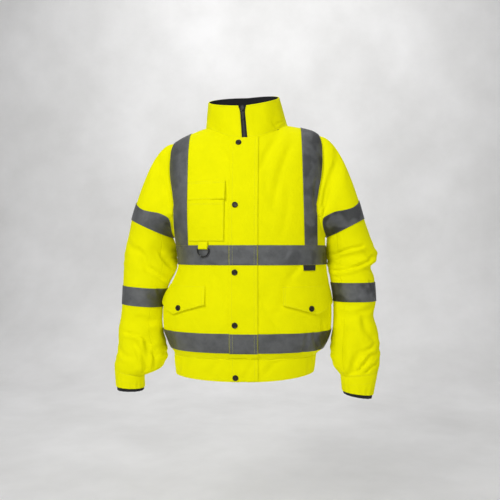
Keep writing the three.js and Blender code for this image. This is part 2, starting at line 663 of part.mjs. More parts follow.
function ringPoint(ring, side, turn) {
  const bend = (v) => Math.sign(v) * Math.abs(v) ** (2 / SLEEVE_ROUND);
  const out = (1 + bend(Math.cos(turn))) / 2;
  const y = ring.y - ring.deep * bend(Math.sin(turn));
  return new THREE.Vector3(side * mix(ring.ix, ring.ox, out), y, mix(ring.iz, ring.oz, out));
}

const sleeveTurn = (step, steps) => Math.PI * (1 - (2 * step) / steps);

// The sleeve cap swings from the armhole to the first whole ring on a curve of second degree,
// lifted over the shoulder and held back beside the underarm
function capPoint(seam, ring, side, step, share) {
  const turn = sleeveTurn(step, SLEEVE_STEPS);
  const end = ringPoint(ring, side, turn);
  const fromUnderarm = Math.min(step, SLEEVE_STEPS - step);
  const { at, spread } = CAP_HOLD_STEPS;
  const held = CAP_HOLD * Math.exp(-(((fromUnderarm - at) / spread) ** 2));
  const t = share * (1 - held);
  const middle = seam.p.clone().lerp(end, 0.5);
  middle.z += CAP_RISE * Math.max(0, Math.cos(turn)) ** 2 + CAP_LOW_RISE;
  middle.y -= CAP_SPREAD * Math.sin(turn);
  const p = seam.p.clone().multiplyScalar((1 - t) ** 2);
  return p.addScaledVector(middle, 2 * t * (1 - t)).addScaledVector(end, t ** 2);
}

function sleeveGrid(side) {
  const rings = side < 0 ? SLEEVE_RINGS.right : SLEEVE_RINGS.left;
  const seam = armholeRing(side);
  const caps = CAP_SHARES.map((share) => seam.map((v, j) => capPoint(v, rings[0], side, j, share)));
  const turns = seam.map((v, j) => sleeveTurn(j, SLEEVE_STEPS));
  const points = [...caps, ...rings.map((ring) => turns.map((turn) => ringPoint(ring, side, turn)))];
  return points.map((ring, r) => ring.map((p, j) => {
    if (r === 0) return seam[j];
    const around = points[r][(j + 1) % SLEEVE_STEPS].clone();
    around.sub(points[r][(j + SLEEVE_STEPS - 1) % SLEEVE_STEPS]);
    const down = points[Math.min(r + 1, points.length - 1)][j].clone().sub(points[r - 1][j]);
    const n = down.cross(around).multiplyScalar(side).normalize();
    return { p: p.clone().addScaledVector(n, -foldDepth(p.x, p.z, n.y)), n };
  }));
}

function turnedTo(grid, from, count) {
  return grid.map((ring) => Array.from({ length: count + 1 }, (_, k) => ring[(from + k) % SLEEVE_STEPS]));
}

function addSleeve(side) {
  const name = side < 0 ? 'right' : 'left';
  const grid = sleeveGrid(side);
  const edges = { first: SEAM, last: HALF_SEAM, left: HALF_SEAM, right: HALF_SEAM };
  const top = turnedTo(grid, UNDER_SEAM, SLEEVE_STEPS - 2 * UNDER_SEAM);
  const under = turnedTo(grid, SLEEVE_STEPS - UNDER_SEAM, 2 * UNDER_SEAM);
  add(`sleeve_${name}_top`, wall(trimmed(top, edges), 0, -CLOTH), 'yellow');
  add(`sleeve_${name}_under`, wall(trimmed(under, edges), 0, -CLOTH), 'yellow');
  const tapes = { upper: UPPER_TAPE_RINGS, lower: LOWER_TAPE_RINGS };
  Object.entries(tapes).forEach(([level, [from, to]]) => {
    const band = grid.slice(from, to + 1);
    add(`sleeve_tape_${name}_${level}`, wall(band, LIFT + TAPE, LIFT, true), 'tape');
  });
}

// A cuff narrows from the sleeve's last ring to its own end, and its ribs deepen on the way
function cuffGrid(side, shares) {
  const name = side < 0 ? 'right' : 'left';
  const from = SLEEVE_RINGS[name].at(-1);
  const to = CUFF_END[name];
  return shares.map((share) => {
    const ring = {};
    Object.keys(from).forEach((key) => { ring[key] = mix(from[key], to[key], share); });
    return Array.from({ length: CUFF_STEPS }, (_, k) => {
      const turn = sleeveTurn(k, CUFF_STEPS);
      const p = ringPoint(ring, side, turn);
      const half = (ring.ox - ring.ix) / 2;
      const n = new THREE.Vector3((side * Math.cos(turn)) / half, -Math.sin(turn) / ring.deep, 0);
      n.normalize();
      p.addScaledVector(n, k % 2 ? -CUFF_RIB_DEPTH * share : 0);
      return { p, n };
    });
  });
}

function addCuff(side) {
  const name = side < 0 ? 'right' : 'left';
  const cuff = trimmed(cuffGrid(side, [0, 1]), { first: SEAM });
  add(`cuff_${name}`, wall(cuff, 0, -CLOTH, true), 'yellow');
  const length = SLEEVE_RINGS[name].at(-1).iz - CUFF_END[name].iz;
  const lining = cuffGrid(side, [CUFF_LINING_START, 1 + CUFF_LINING_DROP / length]);
  const outer = -CLOTH - 2 * SEAM;
  add(`cuff_lining_${name}`, wall(lining, outer, outer - LINING_WALL, true), 'lining');
}

const POCKET = { left: -142.5, right: -49, low: 359.8, high: 466, puff: 3.2 };
const POCKET_FLAP = { left: -143.5, right: -47, low: 464, high: 514, stand: 8.6 };

function addPhonePocket() {
  const swell = (u, v) => Math.sin(Math.PI * u) ** 0.6 * Math.min(1, 3 * v);
  const place = (box) => (u, v) => ({ x: mix(box.left, box.right, u), z: mix(box.low, box.high, v) });
  const bag = laidOn(FRONT.right, 8, 5, place(POCKET), (u, v) => LIFT + POCKET.puff * swell(u, v));
  add('phone_pocket', wall(bag, CLOTH, 0), 'yellow');
  const stand = (u, v) => LIFT + POCKET_FLAP.stand * (1 - v) ** 0.8;
  const flap = laidOn(FRONT.right, 8, 3, place(POCKET_FLAP), stand);
  add('phone_pocket_flap', wall(flap, CLOTH, 0), 'yellow');
}

// A pointed flap over each side pocket: it follows the panel's columns and is lowest at its middle
const SIDE_FLAP = {
  columns: [3.53, 4, 5, 6, 7, 8, 8.5, 9, 9.4], rows: 3, top: 246, corner: 199, point: 171, stand: 4.5,
  stud: { out: 167.5, shift: 1, height: 188, lift: 4.75 },
};

function addPocketFlap(side) {
  const name = side < 0 ? 'right' : 'left';
  const panel = FRONT[name];
  const s = section(SIDE_FLAP.top);
  const turns = SIDE_FLAP.columns.map((c) => turnOf(onGrid(panel, c, rowAt(SIDE_FLAP.top)).p.x, s, side));
  const grid = [];
  for (let r = 0; r <= SIDE_FLAP.rows; r += 1) {
    const up = r / SIDE_FLAP.rows;
    grid.push(SIDE_FLAP.columns.map((c, k) => {
      const u = (turns[k] - turns[0]) / (turns.at(-1) - turns[0]);
      const bottom = mix(SIDE_FLAP.corner, SIDE_FLAP.point, 1 - Math.abs(2 * u - 1));
      const v = onGrid(panel, c, rowNumber(mix(bottom, SIDE_FLAP.top, up)));
      v.p.addScaledVector(v.n, LIFT + SIDE_FLAP.stand * (1 - up));
      return v;
    }));
  }
  add(`pocket_flap_${name}`, wall(grid, CLOTH, 0), 'yellow');
  const { out, shift, height, lift } = SIDE_FLAP.stud;
  addSnap(`snap_pocket_${name}`, panel, side * out + shift, height, LIFT + CLOTH + lift);
}

// A press stud's cap: a raised rim round a sunk middle, as shares of its radius and heights
const SNAP_PROFILE = [
  { out: 0, up: 0 }, { out: 1, up: 0 }, { out: 1, up: 1.4 }, { out: 0.85, up: 2.5 },
  { out: 0.61, up: 2.5 }, { out: 0.5, up: 1.7 }, { out: 0, up: 1.7 },
];
const SNAP_SIDES = 12;
const SNAP_LIFT = 0.8;

function snapGeometry() {
  const points = SNAP_PROFILE.map(({ out, up }) => new THREE.Vector2(out * SNAP_RADIUS, up));
  return new THREE.LatheGeometry(points, SNAP_SIDES);
}

function addSnap(name, panel, x, z, lift) {
  const frame = frameOn(panel, x, z, lift);
  const snap = add(name, snapGeometry(), 'snap');
  frame.add(snap);
  snap.rotation.x = Math.PI;
}

function addFlapSnaps() {
  SNAPS.forEach(({ x, z }, k) => {
    const panel = z < WAISTBAND_TOP ? frontGrid(-1, BAND_ROWS) : FRONT.right;
    addSnap(`snap_flap_${k + 1}`, panel, x, z, FLAP_FRONT + SNAP_LIFT);
  });
}

const LABEL = { columns: [5.9, 6, 7, 7.7], low: 284.5, high: 298.4, wall: 0.8 };

function addLabel() {
  const at = (z) => LABEL.columns.map((c) => {
    const v = onGrid(FRONT.left, c, rowNumber(z));
    v.p.addScaledVector(v.n, LIFT);
    return v;
  });
  add('label', wall([at(LABEL.low), at(LABEL.high)], LABEL.wall, 0), 'black');
}

const RING = {
  x: -101, z: 342, out: 5.2, half: 16.2, deep: 22, corner: 4, straight: 2, wire: 1.8, sides: 8,
};
const TAB = { half: 12.9, top: 16.4, loop: 3.3, eye: 2.1, back: 1.9, wall: 2.5, straight: 1.5, eyeTop: 9 };

// The webbing tab is a loop seen from its side: flat back, round end below, front slanting in
function tabGeometry() {
  const outline = new THREE.Shape();
  outline.moveTo(TAB.back, TAB.top);
  outline.lineTo(TAB.back, 0);
  outline.absarc(RING.out, 0, TAB.loop, Math.PI, 2 * Math.PI, false);
  outline.lineTo(RING.out + TAB.loop, TAB.straight);
  outline.lineTo(TAB.back + TAB.wall, TAB.top);
  const eye = new THREE.Path();
  eye.absarc(RING.out, 0, TAB.eye, Math.PI, 2 * Math.PI, false);
  eye.lineTo(RING.out + TAB.eye, TAB.straight);
  eye.lineTo(RING.out - TAB.eye, TAB.eyeTop);
  outline.holes.push(eye);
  const geometry = new THREE.ExtrudeGeometry(outline, {
    depth: 2 * TAB.half, bevelEnabled: false, curveSegments: 8,
  });
  geometry.translate(0, 0, -TAB.half);
  const out = new THREE.Vector3(0, -1, 0);
  const up = new THREE.Vector3(0, 0, 1);
  return geometry.applyMatrix4(new THREE.Matrix4().makeBasis(out, up, out.clone().cross(up)));
}

// A closed round wire through a loop of points in the plane of X and Z
function wireLoop(path, radius, sides) {
  const count = path.length;
  const points = [];
  const faces = [];
  path.forEach((p, k) => {
    const before = path[(k + count - 1) % count];
    const after = path[(k + 1) % count];
    const ahead = after.clone().sub(before).normalize();
    const across = new THREE.Vector3(ahead.z, 0, -ahead.x);
    for (let s = 0; s < sides; s += 1) {
      const a = (2 * Math.PI * s) / sides;
      const q = p.clone().addScaledVector(across, radius * Math.cos(a));
      points.push(q.add(new THREE.Vector3(0, radius * Math.sin(a), 0)));
      const [i, j] = [k * sides, ((k + 1) % count) * sides];
      const t = (s + 1) % sides;
      faces.push([i + s, j + s, j + t], [i + s, j + t, i + t]);
    }
  });
  return closedMesh(points, faces);
}

function ringPath() {
  const path = [];
  const arc = (cx, cz, rx, rz, from, to, steps) => {
    for (let k = 0; k <= steps; k += 1) {
      const a = mix(from, to, k / steps);
      path.push(new THREE.Vector3(cx + rx * Math.cos(a), 0, cz + rz * Math.sin(a)));
    }
  };
  const { half, corner, deep, straight } = RING;
  arc(-half + corner, -corner, corner, corner, Math.PI, Math.PI / 2, 3);
  arc(half - corner, -corner, corner, corner, Math.PI / 2, 0, 3);
  arc(0, -corner - straight, half, deep - corner - straight, 0, -Math.PI, 14);
  return path;
}

function addRing() {
  const frame = frameOn(FRONT.right, RING.x, RING.z, 0);
  frame.add(add('d_ring_tab', tabGeometry(), 'yellow'));
  const ring = add('d_ring', wireLoop(ringPath(), RING.wire, RING.sides), 'black');
  frame.add(ring);
  ring.position.y = -RING.out;
}

const SLIDER = {
  share: 0.86, width: 9.6, height: 13, thick: 2, bridgeHalf: 1.6, sink: 0.3,
  bridge: { from: 1.5, shoulder: 4.6, out: 6, halfFoot: 4.2, halfTop: 2.8 },
  gap: { from: 2.1, to: 4.7, half: 2.5 },
};
const PULL = { out: 3.4, thick: 1.4, half: 3, eye: 1.95, drop: 26, eyeDrop: 5.5, corner: 2 };

const wasm = await Module();
wasm.setup();

function solidOf(geometry) {
  const bare = geometry.clone();
  bare.deleteAttribute('normal');
  bare.deleteAttribute('uv');
  const merged = mergeVertices(bare);
  const mesh = new wasm.Mesh({
    numProp: 3,
    vertProperties: merged.attributes.position.array,
    triVerts: new Uint32Array(merged.index.array),
  });
  return new wasm.Manifold(mesh);
}

function geometryOf(solid) {
  const mesh = solid.getMesh();
  const geometry = new THREE.BufferGeometry();
  geometry.setAttribute('position', new THREE.BufferAttribute(mesh.vertProperties, 3));
  geometry.setIndex(new THREE.BufferAttribute(mesh.triVerts, 1));
  geometry.computeVertexNormals();
  return geometry;
}

// The slider's plate, wider at its top, with the bridge that holds the pull
function sliderGeometry() {
  const plate = new THREE.Shape();
  const { width, height, thick, bridgeHalf, bridge: arched, gap } = SLIDER;
  plate.moveTo(-width / 2, height / 2);
  plate.lineTo(-width / 3, -height / 2);
  plate.lineTo(width / 3, -height / 2);
  plate.lineTo(width / 2, height / 2);
  const body = new THREE.ExtrudeGeometry(plate, { depth: thick, bevelEnabled: false });
  body.rotateX(Math.PI / 2);
  const bridge = new THREE.Shape();
  bridge.moveTo(arched.from, -arched.halfFoot);
  bridge.lineTo(arched.shoulder, -arched.halfFoot);
  bridge.lineTo(arched.out, -arched.halfTop);
  bridge.lineTo(arched.out, arched.halfTop);
  bridge.lineTo(arched.shoulder, arched.halfFoot);
  bridge.lineTo(arched.from, arched.halfFoot);
  const hole = new THREE.Path();
  hole.moveTo(gap.from, -gap.half);
  hole.lineTo(gap.from, gap.half);
  hole.lineTo(gap.to, gap.half);
  hole.lineTo(gap.to, -gap.half);
  bridge.holes.push(hole);
  const arch = new THREE.ExtrudeGeometry(bridge, { depth: 2 * bridgeHalf, bevelEnabled: false });
  arch.translate(0, 0, -bridgeHalf);
  const out = new THREE.Vector3(0, -1, 0);
  const up = new THREE.Vector3(0, 0, 1);
  arch.applyMatrix4(new THREE.Matrix4().makeBasis(out, up, out.clone().cross(up)));
  return geometryOf(solidOf(body).add(solidOf(arch)));
}

function pullGeometry() {
  const { half, eye, drop, eyeDrop, thick, corner } = PULL;
  const outline = new THREE.Shape();
  outline.moveTo(-half, thick / 2);
  outline.lineTo(-half, corner - drop);
  outline.lineTo(corner - half, -drop);
  outline.lineTo(half - corner, -drop);
  outline.lineTo(half, corner - drop);
  outline.lineTo(half, thick / 2);
  const hole = new THREE.Path();
  hole.moveTo(-eye, -thick / 2);
  hole.lineTo(eye, -thick / 2);
  hole.lineTo(eye, -eyeDrop);
  hole.lineTo(-eye, -eyeDrop);
  outline.holes.push(hole);
  const geometry = new THREE.ExtrudeGeometry(outline, { depth: thick, bevelEnabled: false });
  geometry.translate(0, 0, -thick / 2);
  return geometry.rotateX(Math.PI / 2);
}

function addSlider() {
  const { p, n } = collarPoint(-1, 0, SLIDER.share);
  const below = collarPoint(-1, 0, SLIDER.share - 0.1).p;
  const group = new THREE.Group();
  const up = p.clone().sub(below).normalize();
  const level = up.clone().cross(n).normalize();
  group.quaternion.setFromRotationMatrix(new THREE.Matrix4().makeBasis(level, up.clone().cross(level), up));
  group.position.copy(p.addScaledVector(n, -SLIDER.sink));
  jacket.add(group);
  group.add(add('zip_slider', sliderGeometry(), 'black'));
  const pull = add('zip_pull', pullGeometry(), 'black');
  group.add(pull);
  pull.position.y = -PULL.out;
}

addBody();
addWaistband();
addCollar();
addZip();
addStormFlap();
addLevelTape('chest_tape', CHEST_TAPE_LOW, CHEST_TAPE_LOW + TAPE_WIDTH);
addLevelTape('waist_tape', WAIST_TAPE_LOW, WAIST_TAPE_LOW + TAPE_WIDTH);
for (const side of [-1, 1]) {
  addBraceTape(side);
  addSleeve(side);
  addCuff(side);
  addPocketFlap(side);
}
addPhonePocket();
addRing();
addFlapSnaps();
addLabel();
addSlider();

export default jacket;
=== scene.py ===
# %% [markdown]
# # A hi-vis work jacket
# A zipped bomber jacket in fluorescent yellow cloth, with grey reflective tapes, filled out as if
# somebody wore it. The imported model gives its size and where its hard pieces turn. This script
# lays thin cloth over the same forms, with finer creases, stitches and finishes.

# %% load the frame
import json
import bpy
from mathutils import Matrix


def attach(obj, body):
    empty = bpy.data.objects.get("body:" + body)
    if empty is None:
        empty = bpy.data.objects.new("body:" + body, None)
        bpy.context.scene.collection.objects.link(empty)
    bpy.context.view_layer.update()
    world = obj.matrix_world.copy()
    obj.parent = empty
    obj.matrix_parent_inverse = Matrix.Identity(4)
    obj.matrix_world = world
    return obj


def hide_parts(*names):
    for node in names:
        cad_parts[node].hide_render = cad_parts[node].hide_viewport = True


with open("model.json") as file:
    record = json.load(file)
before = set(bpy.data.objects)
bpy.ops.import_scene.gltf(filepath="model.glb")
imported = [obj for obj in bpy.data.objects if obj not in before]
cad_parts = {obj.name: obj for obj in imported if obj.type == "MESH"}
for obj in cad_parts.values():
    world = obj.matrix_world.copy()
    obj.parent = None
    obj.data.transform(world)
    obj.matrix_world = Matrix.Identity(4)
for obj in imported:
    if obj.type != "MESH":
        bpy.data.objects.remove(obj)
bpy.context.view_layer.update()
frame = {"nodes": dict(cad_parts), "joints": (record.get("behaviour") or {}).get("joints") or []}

from types import SimpleNamespace

import bpy
import numpy as np

MM = 0.001

# %% [markdown]
# ## The camera first
# The photograph looks at the jacket almost straight on, from about 1.7 m, turned 2.8 degrees
# towards the wearer's left. A studio camera like this is level and at the height of the chest tape.

# %% camera
CAMERA_TURN = np.radians(2.77)
CAMERA_PLACE = (0.0918, -1.698, -0.318)
FOCAL_IN_FRAMES = 622 / 500
SENSOR_WIDTH = 36.0

lens = bpy.data.cameras.new("camera")
lens.sensor_width = SENSOR_WIDTH
lens.lens = FOCAL_IN_FRAMES * SENSOR_WIDTH
camera = bpy.data.objects.new("camera", lens)
camera.location = CAMERA_PLACE
camera.rotation_euler = (np.pi / 2, 0, CAMERA_TURN)
bpy.context.scene.collection.objects.link(camera)
bpy.context.scene.camera = camera
print("camera lens", round(lens.lens, 1), "mm")

# %% [markdown]
# ## The garment's own sizes
# A jacket is cut from flat panels, but worn it is a tube whose cross-section changes with height.
# So the body is written as a table of sections, heights in millimetres above the hem, and each
# table is read with a smooth curve, because cloth has no corners between two measured heights.

# %% driving sizes, in millimetres above the hem
def table(columns, rows):
    """Rows of numbers become rows with named columns."""
    return [dict(zip(columns.split(), row)) for row in rows]


CARRIED_AT = 655
WAISTBAND_TOP = 58
WAIST_TAPE = (76, 126)
CHEST_TAPE = (299, 349)
UNDERARM = 368
YOKE = 450
ROUND = 2.3
SLEEVE_ROUND = 2.15
ARMHOLE_WAIST = 190
NECK_HALF, NECK_FRONT, NECK_BACK = 112, 100, 65
ZIP_HALF = 7
FLAP_HALF = 36
SHELL = 1.1
TAPE = 0.6
LIFT = 0.9
FLAP_FRONT = 3.2

SECTIONS = table("z half front back shift lean", [
    (0, 188, 117, 109, -4, 0), (29, 191, 120, 112, -4, 0), (58, 193, 122, 114, -3, 0),
    (76, 207, 131, 122, 2, 0), (101, 219, 139, 128, 3, 0), (126, 227, 143, 131, 2, 0),
    (170, 229, 146, 132, 2, 0), (208, 225, 147, 133, 4, 0), (246, 214, 147, 135, 10, 0),
    (299, 201, 147, 138, 16, 0), (349, 202, 147, 142, 12, 0), (398, 209, 145, 146, 5, 0),
    (450, 218, 140, 148, 0, 2), (550, 218, 127, 143, 0, 8), (640, 218, 126, 142, 0, 11),
    (700, 218, 126, 142, 0, 11),
])
SHOULDERS = table("x right left", [
    (0, 700, 700), (112, 670, 676), (150, 656, 669), (180, 642, 661), (200, 630, 648), (218, 614, 628),
])
ARMHOLE = table("share x", [
    (0, 190), (0.22, 197), (0.44, 205), (0.64, 208), (0.82, 208), (0.95, 204), (1, 199),
])
print(len(SECTIONS), "sections of the body")


# %% reading a table with a smooth curve
def curve(xs, ys, at):
    """Cubic through the rows (xs, ys) that never overshoots: the slope at a row is the harmonic
    mean 2ab / (a + b) of the slopes a and b beside it, or 0 where they differ in sign."""
    xs, ys, at = np.asarray(xs, float), np.asarray(ys, float), np.asarray(at, float)
    tail = (1,) * (ys.ndim - 1)
    step = np.diff(xs).reshape((-1,) + tail)
    rise = np.diff(ys, axis=0) / step
    a, b = rise[:-1], rise[1:]
    agree = a * b > 0
    inner = np.where(agree, 2 * a * b / np.where(agree, a + b, 1), 0)
    slope = np.concatenate([rise[:1], inner, rise[-1:]])
    k = np.clip(np.searchsorted(xs, at, side="right") - 1, 0, len(xs) - 2)
    t = np.clip((at - xs[k]) / np.diff(xs)[k], 0, 1).reshape(at.shape + tail)
    h = step[k]
    return ((1 + 2 * t) * (1 - t) ** 2 * ys[k] + t * (1 - t) ** 2 * h * slope[k]
            + t ** 2 * (3 - 2 * t) * ys[k + 1] - t ** 2 * (1 - t) * h * slope[k + 1])


def read(rows, key, column, at):
    """One named column of a table at the given values of its key column."""
    return curve([row[key] for row in rows], [row[column] for row in rows], at)


def mix(a, b, t):
    """a + (b - a) t"""
    return a + (b - a) * t


def smooth(t):
    """t t (3 - 2 t), held between 0 and 1"""
    s = np.clip(t, 0, 1)
    return s * s * (3 - 2 * s)


def bell(d, wide):
    """e^-(d / wide)^2"""
    return np.exp(-((d / wide) ** 2))


def section(z):
    """All the sizes of the body's cross-section at height z."""
    names = ("half", "front", "back", "shift", "lean")
    return SimpleNamespace(**{name: read(SECTIONS, "z", name, z) for name in names})


def shoulder(x):
    """Height of the shoulder line at a distance x from the middle."""
    away = np.abs(x)
    return np.where(x < 0, read(SHOULDERS, "x", "right", away), read(SHOULDERS, "x", "left", away))


print("half width at the chest tape", float(section(CHEST_TAPE[0]).half))

# %% [markdown]
# ## Creases
# Real cloth buckles where it has too much length: at the elbow, under the arm, above the band.
# They could be simulated, but then they would fall anywhere. Here each crease is placed
# between two points seen from the front or the back, and pressed in or pushed out along the
# cloth's own direction, with a lip beside it, the way a crease pulls up the cloth next to it.

# %% creases, in millimetres: both ends, half width, depth inwards, and bow of the line
# Columns: x1, z1, x2, z2, wide, deep, bow
BROAD_FOLDS = [
    (262, 315, 322, 322, 13, 7, 0), (245, 290, 350, 318, 12, -5, 0), (250, 590, 215, 468, 15, 7, 0),
    (268, 168, 345, 186, 12, 4, 0), (300, 80, 350, 58, 11, 5, 0), (290, 52, 280, 18, 10, 5, 0),
    (-238, 566, -212, 462, 16, 6, 0), (-232, 330, -190, 285, 13, 7, 0),
    (-290, 322, -218, 236, 12, 6, 0), (-282, 138, -236, 112, 15, 7, 0),
    (-296, 86, -268, 20, 11, 6, 0), (-252, 92, -256, 24, 10, 4, 0), (84, 640, 46, 560, 17, 4, 0),
    (118, 610, 78, 470, 18, 3, 0), (118, 262, 134, 292, 13, 3, 0), (-70, 600, -44, 560, 15, 3, 0),
    (-74, 262, -52, 140, 18, 3, 0), (48, 210, 92, 140, 18, 3, 0),
]
# The wearer's left sleeve: cap, elbow, tape ends and forearm
LEFT_SLEEVE_CREASES = [
    (240, 566, 207, 458, 5, 3.4, 5), (228, 520, 205, 430, 4, 2.2, -3), (286, 560, 292, 470, 14, 1.6, 8),
    (206, 309, 306, 346, 4.2, 4.0, -5), (226, 281, 346, 321, 4.6, 4.4, 9), (232, 300, 268, 296, 5, 2.2, 3),
    (318, 332, 350, 322, 6, 2.5, 4), (330, 250, 344, 206, 4, 1.8, 3), (318, 244, 336, 212, 3.6, -1.4, -3),
    (300, 176, 346, 190, 6, 2.4, 3), (246, 196, 300, 192, 7, 1.4, 3), (312, 158, 334, 112, 10, 3.2, 7),
    (344, 66, 309, 42, 4.6, 3.8, 4), (309, 42, 282, 14, 4.2, 3.4, -3), (352, 44, 318, 22, 4.0, 3.0, 3),
    (276, 10, 287, 46, 4, 2.8, 3), (334, 88, 300, 72, 5, 2.2, -4), (262, 120, 250, 60, 9, 2.0, 4),
]
# The wearer's right sleeve, in the same order
RIGHT_SLEEVE_CREASES = [
    (-227, 556, -206, 466, 7, 2.6, -4), (-268, 520, -290, 450, 14, 1.5, 5),
    (-224, 331, -184, 281, 5, 4.2, 4), (-284, 334, -262, 292, 7, 2.6, -7),
    (-262, 292, -202, 241, 5, 3.8, -5), (-318, 356, -290, 336, 8, 1.8, 3),
    (-206, 404, -192, 392, 4, 2.6, 0), (-232, 226, -214, 190, 4.6, 3.0, 3),
    (-252, 214, -224, 192, 5, 1.8, -3), (-314, 118, -242, 96, 4.4, 2.6, -5),
    (-274, 156, -232, 150, 9, 3.4, 5),
    (-287, 91, -258, 24, 5.4, 3.2, -6), (-262, 104, -232, 62, 5.4, 3.2, 6), (-238, 66, -246, 8, 5, 3.4, -5),
    (-330, 70, -300, 56, 7, 1.6, 3), (-276, 62, -270, 14, 5, -0.8, 0),
]
# The body: yoke, chest, pockets and above the waistband
BODY_CREASES = [
    (-58, 600, -30, 562, 5.5, 2.0, 4), (-40, 603, -28, 588, 4, 1.4, 0), (78, 619, 47, 549, 7, 1.6, 4),
    (117, 600, 78, 462, 8, 1.4, 6), (60, 560, 62, 470, 9, 1.0, 4), (112, 500, 96, 380, 10, 1.3, -6),
    (96, 312, 113, 337, 4, 1.4, 2), (186, 516, 184, 440, 5, 2.2, 3), (121, 272, 142, 295, 5, 2.0, 2),
    (46, 212, 80, 148, 8, 1.6, 4), (104, 240, 84, 180, 9, 1.2, -4), (-72, 262, -40, 138, 8, 1.5, -6),
    (-120, 160, -96, 132, 7, 1.2, 3), (-88, 300, -60, 262, 8, 1.0, 3), (178, 120, 192, 82, 5, 2.8, 2),
    (160, 118, 150, 80, 6, 1.6, -3), (204, 150, 208, 96, 6, 2.2, 3), (-196, 124, -188, 84, 6, 1.8, -3),
    (96, 56, 60, 26, 8, 1.5, 4), (30, 52, 8, 20, 7, 1.2, 3), (-62, 54, -96, 22, 8, 1.2, -4),
    (74, 673, 86, 660, 3.4, 2.0, 2), (84, 668, 94, 677, 3, 1.4, -2), (-86, 668, -70, 650, 5, 1.4, 2),
]
FRONT_CREASES = BROAD_FOLDS + LEFT_SLEEVE_CREASES + RIGHT_SLEEVE_CREASES + BODY_CREASES
BACK_CREASES = [
    (262, 330, 318, 300, 14, 5, 0), (-262, 322, -318, 296, 14, 5, 0), (280, 120, 330, 60, 13, 5, 0),
    (-270, 112, -330, 64, 13, 5, 0), (236, 560, 216, 450, 17, 5, 0), (-236, 560, -216, 450, 17, 5, 0),
    (120, 560, 60, 420, 22, 4, 0), (-128, 540, -50, 400, 22, 4, 0), (90, 270, 60, 150, 20, 4, 0),
    (-70, 280, -96, 150, 20, 4, 0),
    (168, 540, 120, 400, 8, 2.2, 10), (-176, 556, -132, 420, 9, 2.0, -12), (30, 600, 64, 520, 8, 1.4, 5),
    (-24, 596, -60, 500, 9, 1.5, -5), (150, 300, 120, 180, 8, 1.8, -7), (-154, 282, -110, 160, 7, 2.0, 8),
    (10, 260, -16, 140, 9, 1.6, 7), (44, 200, 70, 90, 7, 1.6, -4), (-40, 180, -64, 84, 7, 1.7, 5),
    (190, 180, 170, 90, 8, 2.2, 5), (-186, 176, -172, 92, 7, 2.0, -5),
    (232, 352, 330, 318, 5, 3.4, -8), (240, 300, 340, 284, 5, 2.8, 8), (-236, 350, -322, 312, 5, 3.2, 7),
    (-240, 296, -330, 270, 5, 2.6, -8), (246, 180, 330, 160, 6, 2.2, 7), (-244, 170, -320, 150, 6, 2.4, -6),
    (262, 92, 340, 56, 5, 3.2, 6), (250, 56, 300, 12, 5, 3.0, -4), (-258, 96, -330, 52, 5, 3.4, -6),
    (-262, 44, -300, 10, 5, 2.8, 4), (250, 540, 226, 452, 6, 2.4, 4), (-250, 540, -228, 452, 6, 2.6, -4),
]
FINE_CREASING = 1.25
BROAD_FROM = 10
LIP = 0.35
END_FADE = 1.6


def crease_depth(x, z, facing, fine=FINE_CREASING, broad=1.0):
    """Sum over the creases of deep (e^-(d/w)^2 - lip e^-((d-2w)/w)^2), where d is the distance
    from the bowed line between both ends. It fades out where the cloth turns edge-on."""
    depth = np.zeros(np.broadcast(x, z).shape)
    for creases, face in ((FRONT_CREASES, -1), (BACK_CREASES, 1)):
        part = np.zeros_like(depth)
        for x1, z1, x2, z2, wide, deep, bow in creases:
            ax, az = x2 - x1, z2 - z1
            length = np.hypot(ax, az)
            run = (x - x1) * ax + (z - z1) * az
            t = np.clip(run / length ** 2, 0, 1)
            off = ((x - x1) * az - (z - z1) * ax) / length - 4 * bow * t * (1 - t)
            lip, scale = (0.0, broad) if wide > BROAD_FROM else (LIP, fine)
            near = bell(off, wide) - lip * bell(off - 2 * wide, wide)
            part += scale * deep * near * bell(run / length - t * length, END_FADE * wide)
        depth += part * (facing * face > 0)
    return depth * smooth((np.abs(facing) - 0.25) * 2)


print(len(FRONT_CREASES), "creases in front,", len(BACK_CREASES), "behind")

# %% [markdown]
# ## Cloth as a grid of points
# Every panel is a grid worked out as whole arrays: rows up the panel, columns across it. Its
# direction at each point is the cross product of its two steps. A thin shell is then the same
# grid moved out to its face and in to its back, joined round the edges, so that the inside can
# have its own finish, as a lined jacket has.


# %% grids
def unit(v):
    """v / |v|"""
    return v / np.maximum(np.linalg.norm(v, axis=-1, keepdims=True), 1e-9)


def turned_out(grid, centre, wrap=False):
    """n = dP/du x dP/dv, made a unit vector and pointing away from the centre line."""
    if wrap:
        across = (np.roll(grid, -1, axis=1) - np.roll(grid, 1, axis=1)) / 2
    else:
        across = np.gradient(grid, axis=1)
    normal = unit(np.cross(across, np.gradient(grid, axis=0)))
    return normal * np.sign(np.sum(normal * (grid - centre)))


def facing_out(grid):
    """The directions that point away from the jacket's upright middle line."""
    return turned_out(grid, grid * (0, 0, 1))


def moved(grid, normal, by):
    """P + n by, with a distance of its own for each point."""
    return grid + normal * by[..., None]


def steps(grid, axis):
    """Distance along one axis of a grid from its first line, summed over its steps."""
    length = np.linalg.norm(np.diff(grid, axis=axis), axis=-1)
    lead = np.zeros(length[:1].shape if axis == 0 else length[:, :1].shape)
    return np.cumsum(np.concatenate([lead, length], axis=axis), axis=axis)


def spaced(start, end, pitch, near=(0.8, 2, 4, 6.5)):
    """Values from start to end about a pitch apart, and closer beside both ends."""
    inner = np.linspace(start, end, max(3, int(round(abs(end - start) / pitch)) + 1))
    fine = [v for d in near if 4 * d < abs(end - start)
            for v in (start + np.sign(end - start) * d, end - np.sign(end - start) * d)]
    return np.unique(np.concatenate([inner, fine]))[:: 1 if end > start else -1]


def shares(run, pitch, low=0, high=1, near=(0.8, 2, 4, 6.5)):
    """Shares of a run in millimetres, from low to high, about a pitch apart."""
    return spaced(low * run, high * run, pitch, near) / run


